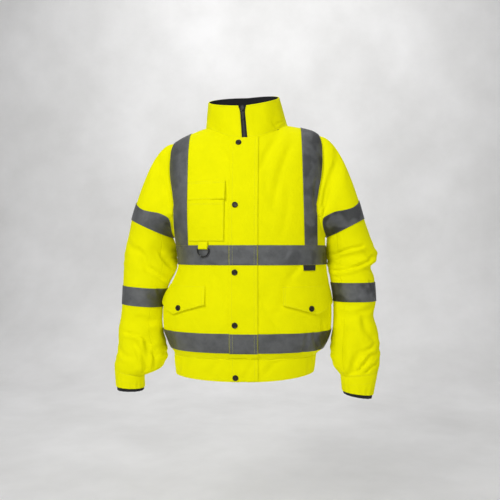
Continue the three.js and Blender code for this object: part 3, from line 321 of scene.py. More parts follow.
SEAM_DIP = dict(deep=0.8, wide=2)
STITCH_DIP = dict(deep=0.4, wide=1.5, at=6)


def seam_dip(grid, sides):
    """Depth beside sewn edges: deep e^-(d/w)^2 at the seam, and the same round the stitches."""
    dip = np.zeros(grid.shape[:2])
    rows, columns = steps(grid, 0), steps(grid, 1)
    away = {"low": rows, "high": rows[-1:] - rows, "first": columns, "last": columns[:, -1:] - columns}
    for side in sides:
        seam = SEAM_DIP["deep"] * bell(away[side], SEAM_DIP["wide"])
        beside = STITCH_DIP["deep"] * bell(away[side] - STITCH_DIP["at"], STITCH_DIP["wide"])
        dip = np.maximum(dip, seam + beside)
    return dip


print("spacing beside an edge", spaced(0, 40, 4)[:5])

# %% [markdown]
# ## From grids to Blender meshes
# A mesh needs its vertices, its faces, a finish for each face and a flat map of the cloth for the
# weave. All of them go in as whole arrays. Each cloth piece's size as cut is also kept in a list of
# sheets: the length of its longest row and column, laid flat.

# %% building meshes
FINISH = {}
SHEETS = []
NEARLY = 0.999


def put_mesh(name, points, faces, finishes, finish_of=None, uv=None, soft=None):
    """Points in millimetres above the hem become a mesh in metres in the jacket's frame."""
    mesh = bpy.data.meshes.new(name)
    faces = np.asarray(faces, np.int32)
    placed = (np.asarray(points, float) - (0, 0, CARRIED_AT)) * MM
    mesh.vertices.add(len(placed))
    mesh.vertices.foreach_set("co", placed.ravel())
    mesh.loops.add(faces.size)
    mesh.loops.foreach_set("vertex_index", faces.ravel())
    mesh.polygons.add(len(faces))
    mesh.polygons.foreach_set("loop_start", np.arange(0, faces.size, faces.shape[1], dtype=np.int32))
    if finish_of is not None:
        mesh.polygons.foreach_set("material_index", np.asarray(finish_of, np.int32))
    rounded = np.ones(len(faces), bool) if soft is None else np.asarray(soft, bool)
    mesh.polygons.foreach_set("use_smooth", rounded)
    if uv is not None:
        mesh.uv_layers.new(name="cloth").data.foreach_set("uv", np.asarray(uv, float).ravel())
    mesh.update(calc_edges=True)
    mesh.validate()
    for finish in finishes:
        mesh.materials.append(FINISH[finish])
    piece = bpy.data.objects.new(name, mesh)
    bpy.context.scene.collection.objects.link(piece)
    return piece


def quads(index, rows, spans):
    """Corners (r, c), (r, c+1), (r+1, c+1), (r+1, c) of every square of a grid of numbers."""
    r, c = np.meshgrid(np.arange(rows), np.arange(spans), indexing="ij")
    n = index.shape[1]
    return np.stack([index[r, c], index[r, (c + 1) % n], index[r + 1, (c + 1) % n], index[r + 1, c]], -1)


def shell(name, grid, normal, outer, inner, finishes, wrap=False):
    """Both skins of a cloth, P + n outer and P + n inner, joined round the edges."""
    rows, columns = grid.shape[:2]
    spans = columns if wrap else columns - 1
    index = np.arange(rows * columns).reshape(rows, columns)
    face = quads(index, rows - 1, spans)
    probe = np.cross(grid[:-1, 1:] - grid[:-1, :-1], grid[1:, :-1] - grid[:-1, :-1])
    turned = np.sum(probe * normal[:-1, :-1]) < 0
    if turned:
        face = face[..., ::-1]
    size = rows * columns
    front, back = face.reshape(-1, 4), face.reshape(-1, 4)[:, ::-1] + size
    edges = np.concatenate([front[:, [0, 1]], front[:, [1, 2]], front[:, [2, 3]], front[:, [3, 0]]])
    keys = np.minimum(edges[:, 0], edges[:, 1]) * size + np.maximum(edges[:, 0], edges[:, 1])
    _, first, count = np.unique(keys, return_index=True, return_counts=True)
    a, b = edges[first[count == 1]].T
    rim = np.stack([b, a, a + size, b + size], -1)
    across = np.append(steps(grid, 1).mean(axis=0), 0)
    if wrap:
        across[-1] = across[-2] + np.linalg.norm(grid[:, 0] - grid[:, -1], axis=-1).mean()
    up = steps(grid, 0).mean(axis=1)
    r, c = np.meshgrid(np.arange(rows - 1), np.arange(spans), indexing="ij")
    corners = ((0, 0), (1, 0), (1, 1), (0, 1))
    flat = np.stack([np.stack([across[c + i], up[r + j]], -1) for i, j in corners], 2)
    flat = flat.reshape(-1, 4, 2) * MM
    if turned:
        flat = flat[:, ::-1]
    place = np.stack([np.tile(across[:columns], rows), np.repeat(up, columns)], -1) * MM
    uv = np.concatenate([flat, flat[:, ::-1], place[np.stack([b, a, a, b], -1)]])
    points = np.concatenate([(grid + normal * by).reshape(-1, 3) for by in (outer, inner)])
    faces = np.concatenate([front, back, rim])
    counts = [len(front), len(back), len(rim)]
    kinds = np.repeat([0, len(finishes) - 1, 0], counts)
    soft = np.repeat([True, True, False], counts)
    piece = put_mesh(name, points, faces, finishes, kinds, uv, soft)
    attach(piece, "root")
    return piece


def cut_size(grid, wrap=False):
    """Flat width and length of a cloth and its area, in metres: its longest row and column, and
    the sum of its squares, which a flat rectangle can't be smaller than."""
    closed = np.concatenate([grid, grid[:, :1]], axis=1) if wrap else grid
    width, length = steps(closed, 1)[:, -1].max(), steps(closed, 0)[-1].max()
    step = np.cross(closed[1:, 1:] - closed[:-1, :-1], closed[1:, :-1] - closed[:-1, 1:])
    area = np.linalg.norm(step, axis=-1).sum() / 2
    return width * MM, length * MM, min(area, NEARLY * width * length) * MM ** 2


def sew(name, grid, normal, outer, inner, finishes, slot, held="hung", wrap=False, on=()):
    """A shell that stands for a CAD cloth node, with its own cut size kept in the list of sheets."""
    piece = shell(f"{name}_cloth", grid, normal, outer, inner, finishes, wrap)
    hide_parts(name)
    width, length, area = cut_size(grid, wrap)
    SHEETS.append((name, round(width, 3), round(length, 3), round(area, 4)))


LINED = dict(outer=0, inner=-SHELL, finishes=["yellow", "lining"], slot="hi_vis_cloth")
PATCH = dict(outer=SHELL, inner=0, finishes=["yellow"], slot="hi_vis_cloth", held="laid")
print("mesh helpers ready")

# %% [markdown]
# ## Finishes
# Fluorescent cloth looks brighter than white because its dye gives back ultraviolet as light, so
# the yellow gets a faint glow of its own. The tape is grey cloth covered in tiny glass beads: it
# is dull from most sides and a little metallic. A small helper class lets the maths of a material
# be written as plain expressions.


# %% shader helpers
class Value:
    """Wraps a socket, so that an expression on it adds its own Math nodes."""

    def __init__(self, finish, socket):
        self.finish, self.socket = finish, socket

    def math(self, operation, other=None, swapped=False):
        pair = {0: other, 1: self} if swapped else {0: self, 1: other}
        given = {k: v for k, v in pair.items() if v is not None}
        node = self.finish.node("ShaderNodeMath", {"operation": operation}, given)
        return Value(self.finish, node.outputs[0])

    def __add__(self, other):
        return self.math("ADD", other)

    __radd__ = __add__

    def __sub__(self, other):
        return self.math("SUBTRACT", other)

    def __rsub__(self, other):
        return self.math("SUBTRACT", other, swapped=True)

    def __mul__(self, other):
        return self.math("MULTIPLY", other)

    __rmul__ = __mul__

    def sine(self):
        return self.math("SINE")


class Finish:
    """One material: node() adds any node from its type, its settings and its sockets."""

    def __init__(self, name):
        self.material = bpy.data.materials.new(name)
        self.material.use_nodes = True
        self.tree = self.material.node_tree
        self.tree.nodes.clear()
        self.places = self.node("ShaderNodeTexCoord")

    def node(self, kind, settings=None, sockets=None):
        node = self.tree.nodes.new(kind)
        for key, value in (settings or {}).items():
            setattr(node, key, value)
        for key, value in (sockets or {}).items():
            source = value.socket if isinstance(value, Value) else value
            if isinstance(source, bpy.types.NodeSocket):
                self.tree.links.new(source, node.inputs[key])
            else:
                node.inputs[key].default_value = source
        return node

    def noise(self, scale, detail=3.0, rough=0.5):
        place = self.places.outputs["Object"]
        sockets = {"Vector": place, "Scale": scale, "Detail": detail, "Roughness": rough}
        return Value(self, self.node("ShaderNodeTexNoise", None, sockets).outputs[0])

    def flat_map(self):
        """Across and along the cloth, in metres."""
        split = self.node("ShaderNodeSeparateXYZ", None, {0: self.places.outputs["UV"]})
        return Value(self, split.outputs[0]), Value(self, split.outputs[1])

    def object_x(self):
        """Across the whole jacket, in metres, positive on the wearer's left."""
        split = self.node("ShaderNodeSeparateXYZ", None, {0: self.places.outputs["Object"]})
        return Value(self, split.outputs[0])

    def blend(self, factor, first, second):
        """Colour between two others."""
        node = self.node("ShaderNodeMix", {"data_type": "RGBA"}, {0: factor, 6: first, 7: second})
        return node.outputs[2]

    def ramp(self, value, low, high):
        """0 at low, 1 at high, and a straight line between."""
        sockets = {0: value, 1: low, 2: high}
        return Value(self, self.node("ShaderNodeMapRange", {"clamp": True}, sockets).outputs[0])

    def bump(self, height, distance):
        sockets = {"Height": height, "Distance": distance, "Strength": 1.0}
        return self.node("ShaderNodeBump", None, sockets).outputs[0]

    def done(self, **sockets):
        named = {key.replace("_", " "): value for key, value in sockets.items()}
        shader = self.node("ShaderNodeBsdfPrincipled", None, named)
        self.node("ShaderNodeOutputMaterial", None, {0: shader.outputs[0]})
        return self.material


# %% cloth, tape and trim finishes
TURN = 2 * np.pi
YELLOW = (0.95, 0.93, 0.001, 1)
YELLOW_DEEP = (0.86, 0.86, 0.001, 1)
# Painted light: an emission that makes the yellow cloth and its thread glow whatever the lamps, standing in
# for fluorescence
GLOW = (0.94, 0.92, 0.0, 1)
# Colour of the painted shade on the reflective tape
TAPE_SHADE = (0.035, 0.036, 0.034, 1)
# Painted shade on the tape's side away from the key light: it comes in from x = 0.06 to 0.2 m on the
# wearer's left
SHADED_SIDE = (0.06, 0.2)
# Squares of the distances from the middle, in square metres, of the band of painted shade where the tape is
# edge-on
EDGE_ON_SHADE_SQUARES = (0.031, 0.043, 0.055, 0.073)


def weave(finish, pitch, uneven=0.25):
    """sin(2 pi u / pitch) sin(2 pi v / pitch), with threads of uneven height."""
    across, along = finish.flat_map()
    threads = (across * (TURN / pitch)).sine() * (along * (TURN / pitch)).sine()
    return threads * (1 - uneven * finish.noise(900, 1.0))


def yellow_cloth(name, colour, deep, glow):
    """Dyed cloth: two depths of the dye, a fine weave on a soft crumple, and a faint glow of painted light.
    """
    f = Finish(name)
    soft = f.ramp(f.noise(26, 4.0, 0.6), 0.35, 0.7)
    tint = f.blend(soft * 0.55, colour, deep)
    crumple = f.noise(48, 5.0, 0.62) + f.noise(150, 3.0) * 0.22
    height = crumple + weave(f, 0.0011) * 0.06
    return f.done(Base_Color=tint, Roughness=0.62 + 0.12 * f.noise(40), Normal=f.bump(height, 0.0016),
                  Specular_IOR_Level=0.03, Emission_Color=GLOW, Emission_Strength=glow)


def tape_cloth(name, colour, bright):
    """Beaded tape with fine crossed ribs, darkened by painted shade: in uneven patches on the wearer's
    left, away from the key light, and in a band beside the arms, where it turns edge-on to the light."""
    f = Finish(name)
    across, along = f.flat_map()
    beads = f.noise(2600, 1.0)
    patches = f.ramp(f.noise(34, 4.0, 0.65), 0.36, 0.68)
    tint = f.blend(patches * 0.6 + beads * 0.25, colour, bright)
    x = f.object_x()
    # Painted shade: darker towards the wearer's left, away from the key light, in uneven patches
    wear_and_shade = f.ramp(x, *SHADED_SIDE) * f.ramp(f.noise(21, 1.5, 0.4), 0.46, 0.56)
    # Painted shade in a band beside the arms, where the tape turns edge-on to the light
    near, full, fading, gone = EDGE_ON_SHADE_SQUARES
    turned = f.ramp(x * x, near, full) * (1 - f.ramp(x * x, fading, gone))
    tint = f.blend(wear_and_shade * 0.6 + turned * f.noise(30, 3.0, 0.6) * 0.8, tint, TAPE_SHADE)
    ribs = ((across + along) * (TURN / 0.0016)).sine() * ((across - along) * (TURN / 0.0016)).sine()
    height = f.noise(60, 4.0, 0.6) + ribs * 0.05
    return f.done(Base_Color=tint, Metallic=0.35, Roughness=0.42 + 0.16 * patches,
                  Normal=f.bump(height, 0.0013))


def dark_cloth(name, colour, bright, pitch):
    """Lining, webbing or grey thread, with a weave of its own pitch in metres."""
    f = Finish(name)
    tint = f.blend(f.noise(60, 3.0), colour, bright)
    return f.done(Base_Color=tint, Roughness=0.82 + 0.1 * f.noise(120),
                  Normal=f.bump(weave(f, pitch) + f.noise(90, 3.0), 0.0005), Sheen_Weight=0.05)


def moulded(name, colour, bright, rough, metal=0.0, coat=0.0):
    """A hard piece with small spots of wear."""
    f = Finish(name)
    wear_and_shade = f.ramp(f.noise(420, 4.0, 0.6), 0.5, 0.8)
    return f.done(Base_Color=f.blend(wear_and_shade, colour, bright), Metallic=metal, Roughness=rough + 0.15 * wear_and_shade,
                  Normal=f.bump(f.noise(700, 2.0), 0.00008), Coat_Weight=coat)


FINISH["yellow"] = yellow_cloth("hi_vis_cloth", YELLOW, YELLOW_DEEP, 0.06)
FINISH["thread"] = yellow_cloth("yellow_thread", (0.80, 0.80, 0.05, 1), (0.66, 0.68, 0.03, 1), 0.04)
FINISH["tape"] = tape_cloth("reflective_tape", (0.096, 0.101, 0.100, 1), (0.19, 0.195, 0.20, 1))
FINISH["lining"] = dark_cloth("dark_lining", (0.006, 0.006, 0.009, 1), (0.016, 0.016, 0.020, 1), 0.0012)
FINISH["webbing"] = dark_cloth("black_webbing", (0.012, 0.012, 0.014, 1), (0.03, 0.03, 0.034, 1), 0.0016)
FINISH["teeth"] = moulded("zip_coil", (0.012, 0.012, 0.013, 1), (0.05, 0.05, 0.052, 1), 0.38)
FINISH["ring"] = moulded("moulded_black", (0.010, 0.010, 0.011, 1), (0.03, 0.03, 0.03, 1), 0.3, coat=0.2)
FINISH["slider"] = moulded("painted_slider", (0.014, 0.014, 0.015, 1), (0.12, 0.12, 0.12, 1), 0.34, 0.4)
FINISH["stud"] = moulded("gunmetal_stud", (0.030, 0.026, 0.018, 1), (0.09, 0.08, 0.06, 1), 0.36, 0.7)
print(len(FINISH), "finishes")

# %% [markdown]
# ## The body
# Front and back are one closed form: at each height |x / half|^n + |y / reach|^n = 1, and above
# the yoke line the reach shrinks until front and back meet on the shoulder line. Each panel is
# the part of that form between its own seams.


# %% the body's form
HEM_RISE_RIGHT, HEM_RISE_LEFT, HEM_RISE_AT = 5, 13, 190
NECK_LEVEL = 650.0
SEAM_GAP = 0.3
BODY_RUN = 240
YOKE_RUN = 300
UNDERARM_STEPS = (0, 0.3, 1, 2, 3.5)


def hem_rise(x, z):
    """most (x / at)^2 (1 - z / top), so the hem rises towards the side seams."""
    most = np.where(x < 0, HEM_RISE_RIGHT, HEM_RISE_LEFT)
    return most * (x / HEM_RISE_AT) ** 2 * np.clip(1 - z / WAISTBAND_TOP, 0, 1)


def body_at(face, x, z):
    """y = lean + face reach (1 - across^n)^(1/n) sqrt(1 - rise^3), rise counted from the yoke line."""
    s = section(z)
    across = np.clip(np.abs(x - s.shift) / s.half, 0, 1)
    rise = np.clip((z - YOKE) / (shoulder(x) - YOKE), 0, 1)
    reach = (s.front if face < 0 else s.back) * (1 - across ** ROUND) ** (1 / ROUND)
    return np.stack([x, s.lean + face * reach * np.sqrt(1 - rise ** 3), z + hem_rise(x, z)], -1)


def neck_rise(face, x):
    """Rise at the neck edge: (1 - (reach / depth)^2)^(1/3), an ellipse on the body, 1 outside it."""
    share = np.abs(x) / NECK_HALF
    s = section(NECK_LEVEL)
    reach = (NECK_FRONT if face < 0 else NECK_BACK) * np.sqrt(np.clip(1 - share ** 2, 0, 1))
    depth = (s.front if face < 0 else s.back) * (1 - (np.abs(x) / s.half) ** ROUND) ** (1 / ROUND)
    return np.clip(1 - (reach / depth) ** 2, 0, 1) ** (1 / 3)


def turn_of(x, s, side):
    """The angle whose sine to the power 2/n is |x - shift| / half, with the sign of x - shift."""
    out = np.clip((x - s.shift) * side / s.half, -1, 1)
    return np.sign(out) * np.arcsin(np.abs(out) ** (ROUND / 2))


def across_at(turn, s, side):
    """x = shift + half sin(turn)^(2/n), with the sign of the turn."""
    return s.shift + side * s.half * np.sign(turn) * np.sin(np.abs(turn)) ** (2 / ROUND)


def share_of(level):
    """Share of the way from the yoke line to the shoulder."""
    return np.clip((level - YOKE) / (CARRIED_AT - YOKE), 0, 1)


def edge_turn(level, side):
    """Turn of a panel's outer edge: the side seam, a U under the arm, then the armhole."""
    s = section(level)
    up = np.clip((level - UNDERARM) / (YOKE - UNDERARM), 0, 1)
    low = mix(np.pi / 2, turn_of(ARMHOLE_WAIST * side, s, side), np.sqrt(up * (2 - up)))
    high = turn_of(read(ARMHOLE, "share", "x", share_of(level)) * side, s, side)
    return np.where(level <= YOKE, low, high)


def height_at(face, x, level):
    """The level itself up to the yoke line, then its share of the rise to the neck or shoulder."""
    rise = share_of(level) * neck_rise(face, x)
    return np.where(level <= YOKE, level, YOKE + rise * (shoulder(x) - YOKE))


def levels(low, high, pitch=4.2):
    """Rows from low to high, closer in the underarm's U and, as (1 - t)^2, towards the shoulder."""
    flat = spaced(low, min(high, YOKE), pitch)
    flat = np.concatenate([flat, UNDERARM + np.array(UNDERARM_STEPS)])
    flat = flat[(flat >= low) & (flat <= high)]
    if high <= YOKE:
        return np.unique(flat)
    t = np.linspace(0, 1 - np.sqrt(1 - share_of(high)), int(YOKE_RUN / pitch))[1:]
    return np.unique(np.concatenate([flat, YOKE + (1 - (1 - t) ** 2) * (CARRIED_AT - YOKE)]))


def on_body(face, x, z):
    """Point and direction of the body's cloth at x and z, with its creases pressed in."""
    base = body_at(face, x, z)
    normal = facing_out(base)
    return moved(base, normal, -crease_depth(x, z, normal[..., 1])), normal


def front_panel(side, low, high, inner=ZIP_HALF + SEAM_GAP, pitch=4.0):
    """Columns at even turns from an inner line out to the panel's edge."""
    level = levels(low, high)[:, None]
    s = section(level)
    start = turn_of(inner * side, s, side)
    x = across_at(mix(start, edge_turn(level, side), shares(BODY_RUN, pitch)[None, :]), s, side)
    return on_body(-1, x, height_at(-1, x, level))


def back_panel(low, high, pitch=4.0):
    """Columns at even turns from one side seam or armhole to the other, across the middle."""
    level = levels(low, high)[:, None]
    s = section(level)
    t = shares(BODY_RUN, pitch, low=-1)[None, :]
    x = across_at(t * np.where(t < 0, edge_turn(level, -1), edge_turn(level, 1)), s, 1)
    return on_body(1, x, height_at(1, x, level))


def sewn(grid, normal, sides):
    """The grid with its seams and top-stitching drawn in."""
    return moved(grid, normal, -seam_dip(grid, sides))


# %% front and back panels
SIDES = ((-1, "right"), (1, "left"))
BODY_LOW = WAISTBAND_TOP + 0.2
PANELS = {}
SEAMS = {"front_right": ("low", "last"), "front_left": ("low", "last"), "back": ("low", "first", "last")}
for side, name in SIDES:
    PANELS[f"front_{name}"] = front_panel(side, BODY_LOW, CARRIED_AT)
PANELS["back"] = back_panel(BODY_LOW, CARRIED_AT)
for name, seams in SEAMS.items():
    grid, normal = PANELS[name]
    sew(name, sewn(grid, normal, seams), normal, **LINED)
print("body panels", [row[:3] for row in SHEETS])

# %% [markdown]
# ## Waistband
# The waistband is cut longer than it ends up and elastic at the back draws it in, so the cloth
# stands in small even waves, uneven only where hands and washing have moved them. The front halves
# are nearly plain and only ripple.

# %% waistband
GATHERS = 18
GATHER_DEPTH = 2.2
GATHER_FADE = 20
RIPPLES = 9
RIPPLE_DEPTH = 1.1
RIPPLES_FROM = 0.45
TUCK = 2.0


def waistband(face, side=0):
    """Gathers behind are (1 - cos) / 2 waves that fade towards the top; the front halves ripple
    as a sine beside the side seams. The top edge tucks in under the body."""
    z = spaced(0, WAISTBAND_TOP + 1.6, 3.0)[:, None]
    s = section(z)
    below_top = WAISTBAND_TOP - z
    if side:
        u = shares(BODY_RUN, 2.4)[None, :]
        x = across_at(mix(turn_of((ZIP_HALF + SEAM_GAP) * side, s, side), np.pi / 2, u), s, side)
        wander = 2.2 * z / WAISTBAND_TOP + 0.7 * np.sin(TURN * 2.3 * u)
        wave = (u > RIPPLES_FROM) * np.sin(TURN * RIPPLES * u + wander)
        depth = RIPPLE_DEPTH * (wave + 0.6) * smooth((u - RIPPLES_FROM) / 0.3)
        depth = depth * smooth(z / 24) * smooth(below_top / 9)
    else:
        t = np.linspace(-1, 1, 12 * GATHERS + 1)[None, :]
        x = across_at(t * np.pi / 2, s, 1)
        wander = 0.35 * np.sin(TURN * 1.7 * t + z / 23) + 0.25 * np.sin(TURN * 4.1 * t)
        wave = (1 - np.cos(TURN * GATHERS * (t + 1) / 2 + wander)) / 2
        depth = GATHER_DEPTH * wave * np.clip(below_top / GATHER_FADE, 0, 1)
    base = body_at(face, x, z + 0 * x)
    normal = unit(facing_out(base) * (1, 1, 0))
    creased = crease_depth(x, z, normal[..., 1]) * smooth(below_top / 8)
    creased = creased + TUCK * smooth((1.2 - below_top) / 1.4)
    return moved(base, normal, -(depth + creased)), normal


BANDS = {
    "waistband_right": (-1, -1, ("last",)), "waistband_left": (-1, 1, ("last",)),
    "waistband_back": (1, 0, ("first", "last")),
}
for name, (face, side, seams) in BANDS.items():
    grid, normal = PANELS[name] = waistband(face, side)
    sew(name, sewn(grid, normal, seams), normal, held="gathered", **LINED)
print("waistband cut", SHEETS[-1])

# %% [markdown]
# ## Stand collar and zip
# The collar is a strip round the neck whose top edge is smaller than its base and leans forward.
# It is a straight line from the neck edge to the top edge at every angle. The zip runs up the
# middle of the front to just below its top, and the dark lining shows inside.

# %% collar
COLLAR_HALF, COLLAR_REACH, COLLAR_MIDDLE_Y, COLLAR_LEAN, COLLAR_TOP = 97, 78, -5, -7, 743
COLLAR_BACK_RISE, COLLAR_LEFT_RISE = 0.36, 0.12
COLLAR_WALL = 2.2
COLLAR_HEIGHT, COLLAR_ROUND = 100, 600
FLARE_FROM = 0.72
LINING_GAP, LINING_WALL = 0.4, 1.2


def collar_at(angle, share):
    """Mix of the neck edge and the top edge, at an angle that is 0 in front and grows to the left."""
    x = NECK_HALF * np.sin(angle)
    facing = -np.cos(angle)
    base = [body_at(face, x, YOKE + neck_rise(face, x) * (shoulder(x) - YOKE)) for face in (-1, 1)]
    base = np.where((facing < 0)[..., None], base[0], base[1])
    top_x = COLLAR_LEAN + COLLAR_HALF * np.sin(angle)
    top_y = COLLAR_MIDDLE_Y + COLLAR_REACH * facing
    top_z = COLLAR_TOP + COLLAR_BACK_RISE * top_y + COLLAR_LEFT_RISE * np.maximum(0, top_x)
    top = np.stack([top_x, top_y, top_z], -1)
    return mix(base, top, share[..., None])


def collar_grid(low, high, flare=4.5, pitch=3.6):
    """Round from the zip's left edge to its right edge. The front corners round off at the top,
    and slack makes two slow waves round the middle of the collar's height."""
    share = shares(COLLAR_HEIGHT, pitch, low, high, near=(1, 3))[:, None]
    opening = flare * smooth((share - FLARE_FROM) / (1 - FLARE_FROM)) ** 2
    gap = np.arcsin((ZIP_HALF + SEAM_GAP + opening) / NECK_HALF)
    angle = mix(gap, TURN - gap, shares(COLLAR_ROUND, pitch)[None, :])
    base = collar_at(angle, share + 0 * angle)
    normal = facing_out(base)
    arch = np.sin(np.pi * np.clip(share, 0, 1))
    slack = 1.1 * np.sin(5 * angle + 2 * share) * arch + 0.8 * np.sin(11 * angle - 3 * share)
    depth = crease_depth(base[..., 0], base[..., 2], normal[..., 1]) + slack * arch ** 0.5
    return moved(base, normal, -depth), normal


grid, normal = PANELS["collar"] = collar_grid(-0.018, 1)
wall = {**LINED, "inner": -COLLAR_WALL}
sew("collar_outer", sewn(grid, normal, ("high", "first", "last")), normal, **wall)
lining_face = -COLLAR_WALL - LINING_GAP
grid, normal = collar_grid(0.12, 0.985, flare=5.5)
sew("collar_lining", grid, normal, lining_face, lining_face - LINING_WALL, ["lining"], "lining",
    held="laid", on=["collar_outer_cloth"])

# %% zip
ZIP_SET_BACK = 0.6
ZIP_TAPE = 1.2
TOOTH_PITCH = 2.4
TOOTH_SIZE = (1.5, 1.7, 0.9)
TOOTH_OFF = 0.9


def zip_line(x, pitch=3.0):
    """The line x across the front, from the hem to the neck and on up the collar."""
    level = np.concatenate([spaced(1, WAISTBAND_TOP, pitch, ()), levels(WAISTBAND_TOP + 3, CARRIED_AT)])
    x = np.zeros((len(level), 1)) + x
    body = on_body(-1, x, height_at(-1, x, level[:, None]))[0]
    share = np.linspace(0.04, 0.99, 30)[:, None]
    angle = np.arcsin(x[:1] / NECK_HALF)
    return np.concatenate([body, collar_at(angle + 0 * share, share + 0 * angle)])


grid = zip_line(np.linspace(SEAM_GAP - ZIP_HALF, ZIP_HALF - SEAM_GAP, 7)[None, :])
sew("zip", grid, facing_out(grid), -ZIP_SET_BACK, -ZIP_SET_BACK - ZIP_TAPE, ["webbing"], "black_zip",
    held="laid")
print("zip length", round(SHEETS[-1][2], 3), "m")


# %% [markdown]
# ## Small repeated things
# A stitch or a zip tooth is the same small shape many times over. One unit shape with few faces
# is copied to all its places at once, each place given by a point and three directions.

# %% copies of one small shape
def repeat(unit_points, unit_faces, places, along, side, out, size):
    """P = place + along a + side b + out c for every point (a, b, c) of the unit shape, times size."""
    scaled = np.asarray(unit_points, float) * size
    points = (places[:, None] + along[:, None] * scaled[None, :, :1]
              + side[:, None] * scaled[None, :, 1:2] + out[:, None] * scaled[None, :, 2:])
    faces = np.asarray(unit_faces)[None] + (np.arange(len(places)) * len(scaled))[:, None, None]
    return points.reshape(-1, 3), faces.reshape(-1, np.shape(unit_faces)[1])


def put_many(name, sets, finish, soft=True):
    """All copies of one small shape as one mesh that rides on the jacket."""
    starts = np.cumsum([0] + [len(points) for points, _ in sets])
    faces = np.concatenate([faces + start for (_, faces), start in zip(sets, starts)])
    points = np.concatenate([points for points, _ in sets])
    piece = put_mesh(name, points, faces, [finish], soft=np.full(len(faces), soft))
    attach(piece, "root")
    return piece


def walk(line, normal, pitch):
    """Places a pitch apart along a line, with their direction, side and outward direction."""
    run = np.append(0, np.cumsum(np.linalg.norm(np.diff(line, axis=0), axis=1)))
    at = np.arange(pitch / 2, run[-1], pitch)

    def read_at(values, where):
        return np.stack([np.interp(where, run, values[:, k]) for k in range(3)], -1)

    place, out = read_at(line, at), read_at(normal, at)
    along = unit(read_at(line, at + 0.5) - read_at(line, at - 0.5))
    side = unit(np.cross(out, along))
    return place, along, side, unit(np.cross(along, side))


STITCH_POINTS = [(-1, 0, -0.4), (1, 0, -0.4), (0, 1, 0), (0, -1, 0), (0, 0, 1), (0, 0, -1)]
STITCH_FACES = [(0, 4, 3), (0, 2, 4), (0, 5, 2), (0, 3, 5), (1, 3, 4), (1, 4, 2), (1, 2, 5), (1, 5, 3)]
STITCH_SIZE = (1.25, 0.34, 0.34)
STITCH_PITCH = 3.1
LINES = {}


def inset(grid, normal, side, by):
    """The line that lies a distance inside one edge of a grid, found along its rows or columns."""
    axis = 1 if side in ("first", "last") else 0
    if side in ("last", "high"):
        grid, normal = np.flip(grid, axis), np.flip(normal, axis)
    run = steps(grid, axis)
    after = np.argmax(run >= by, axis=axis)
    other = np.arange(len(after))
    pick = (lambda v, k: v[other, k]) if axis else (lambda v, k: v[k, other])
    low, high = pick(run, after - 1), pick(run, after)
    t = ((by - low) / (high - low))[:, None]
    return [mix(pick(values, after - 1), pick(values, after), t) for values in (grid, normal)]


def stitch(group, grid, normal, edges, lift):
    """Keeps stitch lines for the group's one mesh: each lies a distance inside an edge of a
    cloth, moved out from it."""
    for edge, by in edges:
        line, out = inset(grid, normal, edge, by)
        LINES.setdefault(group, []).append((line + out * lift, out))


TOOTH_POINTS = [(a, b, c) for a in (-0.5, 0.5) for b in (-1, 1) for c in (0, 1)]
TOOTH_FACES = [(0, 1, 3, 2), (4, 6, 7, 5), (0, 4, 5, 1), (2, 3, 7, 6), (0, 2, 6, 4), (1, 5, 7, 3)]
tooth_sets = []
for side, shift in ((-1, 0.0), (1, 0.5)):
    strip = zip_line(side * TOOTH_OFF + np.array([[-3, 0, 3]]))
    line, out = strip[:, 1], facing_out(strip)[:, 1]
    place, along, across, up = walk(line, out, TOOTH_PITCH)
    place = place + along * shift * TOOTH_PITCH - up * ZIP_SET_BACK
    tooth_sets.append(repeat(TOOTH_POINTS, TOOTH_FACES, place, along, across, up, TOOTH_SIZE))
teeth = put_many("zip_coil_teeth", tooth_sets, "teeth", soft=False)
print(len(teeth.data.polygons) // len(TOOTH_FACES), "zip teeth")

# %% [markdown]
# ## What is sewn on
# The storm flap, tapes and pockets are laid on the panels. Each is worked out from the same form as
# the panel under it and then moved out, so it follows every crease and never sinks into the cloth.

# %% storm flap and tapes
flap_levels = np.concatenate([spaced(1.5, WAISTBAND_TOP - 1, 3.4, ()), levels(WAISTBAND_TOP, CARRIED_AT)])
FLAP_TOP_LEVEL = 652.5
EDGE_STAND = 1.4
FLAP_STITCHES = (("first", 7.5), ("last", 9.0), ("last", 1.2))
FLAP_TAPE_LIFT = 0.3
THREAD_LIFT = 0.1
SEAM_THREAD_LIFT = 0.15


def flap_cloth(lift, low, high, spread=FLAP_HALF, near=(0.8, 2, 4)):
    """Between two levels of the flap's rows; its free edge on the wearer's right stands off a little."""
    level = flap_levels[(flap_levels > low) & (flap_levels < high)]
    level = np.concatenate([[low], level, [high]])[:, None]
    x = spaced(-spread, spread, 3.0, near)[None, :] + 0 * level
    grid, normal = on_body(-1, x, height_at(-1, x, level))
    wander = 0.5 + 0.5 * np.sin(level / 41) * np.sin(level / 17 + 1)
    return moved(grid, normal, lift + EDGE_STAND * wander * bell(x + FLAP_HALF, 6)), normal


wall = {**PATCH, "outer": FLAP_FRONT - LIFT}
grid, normal = flap_cloth(LIFT, 1.5, FLAP_TOP_LEVEL)
sew("storm_flap", grid, normal, on=["front_right_cloth", "front_left_cloth"], **wall)
grid, normal = flap_cloth(FLAP_FRONT + 0.1, 2.0, FLAP_TOP_LEVEL - 1)
stitch("yellow", grid, normal, FLAP_STITCHES, THREAD_LIFT)


def tape_ready(name, grid, normal, lift=LIFT, wrap=False, edges=("low", "high")):
    """A tape with a line of stitches close to each long edge."""
    sew(name, grid, normal, lift + TAPE, lift, ["tape"], "reflective_tape", "laid", wrap)
    stitch("tape", grid, normal, [(edge, 2.2) for edge in edges], lift + TAPE + THREAD_LIFT)


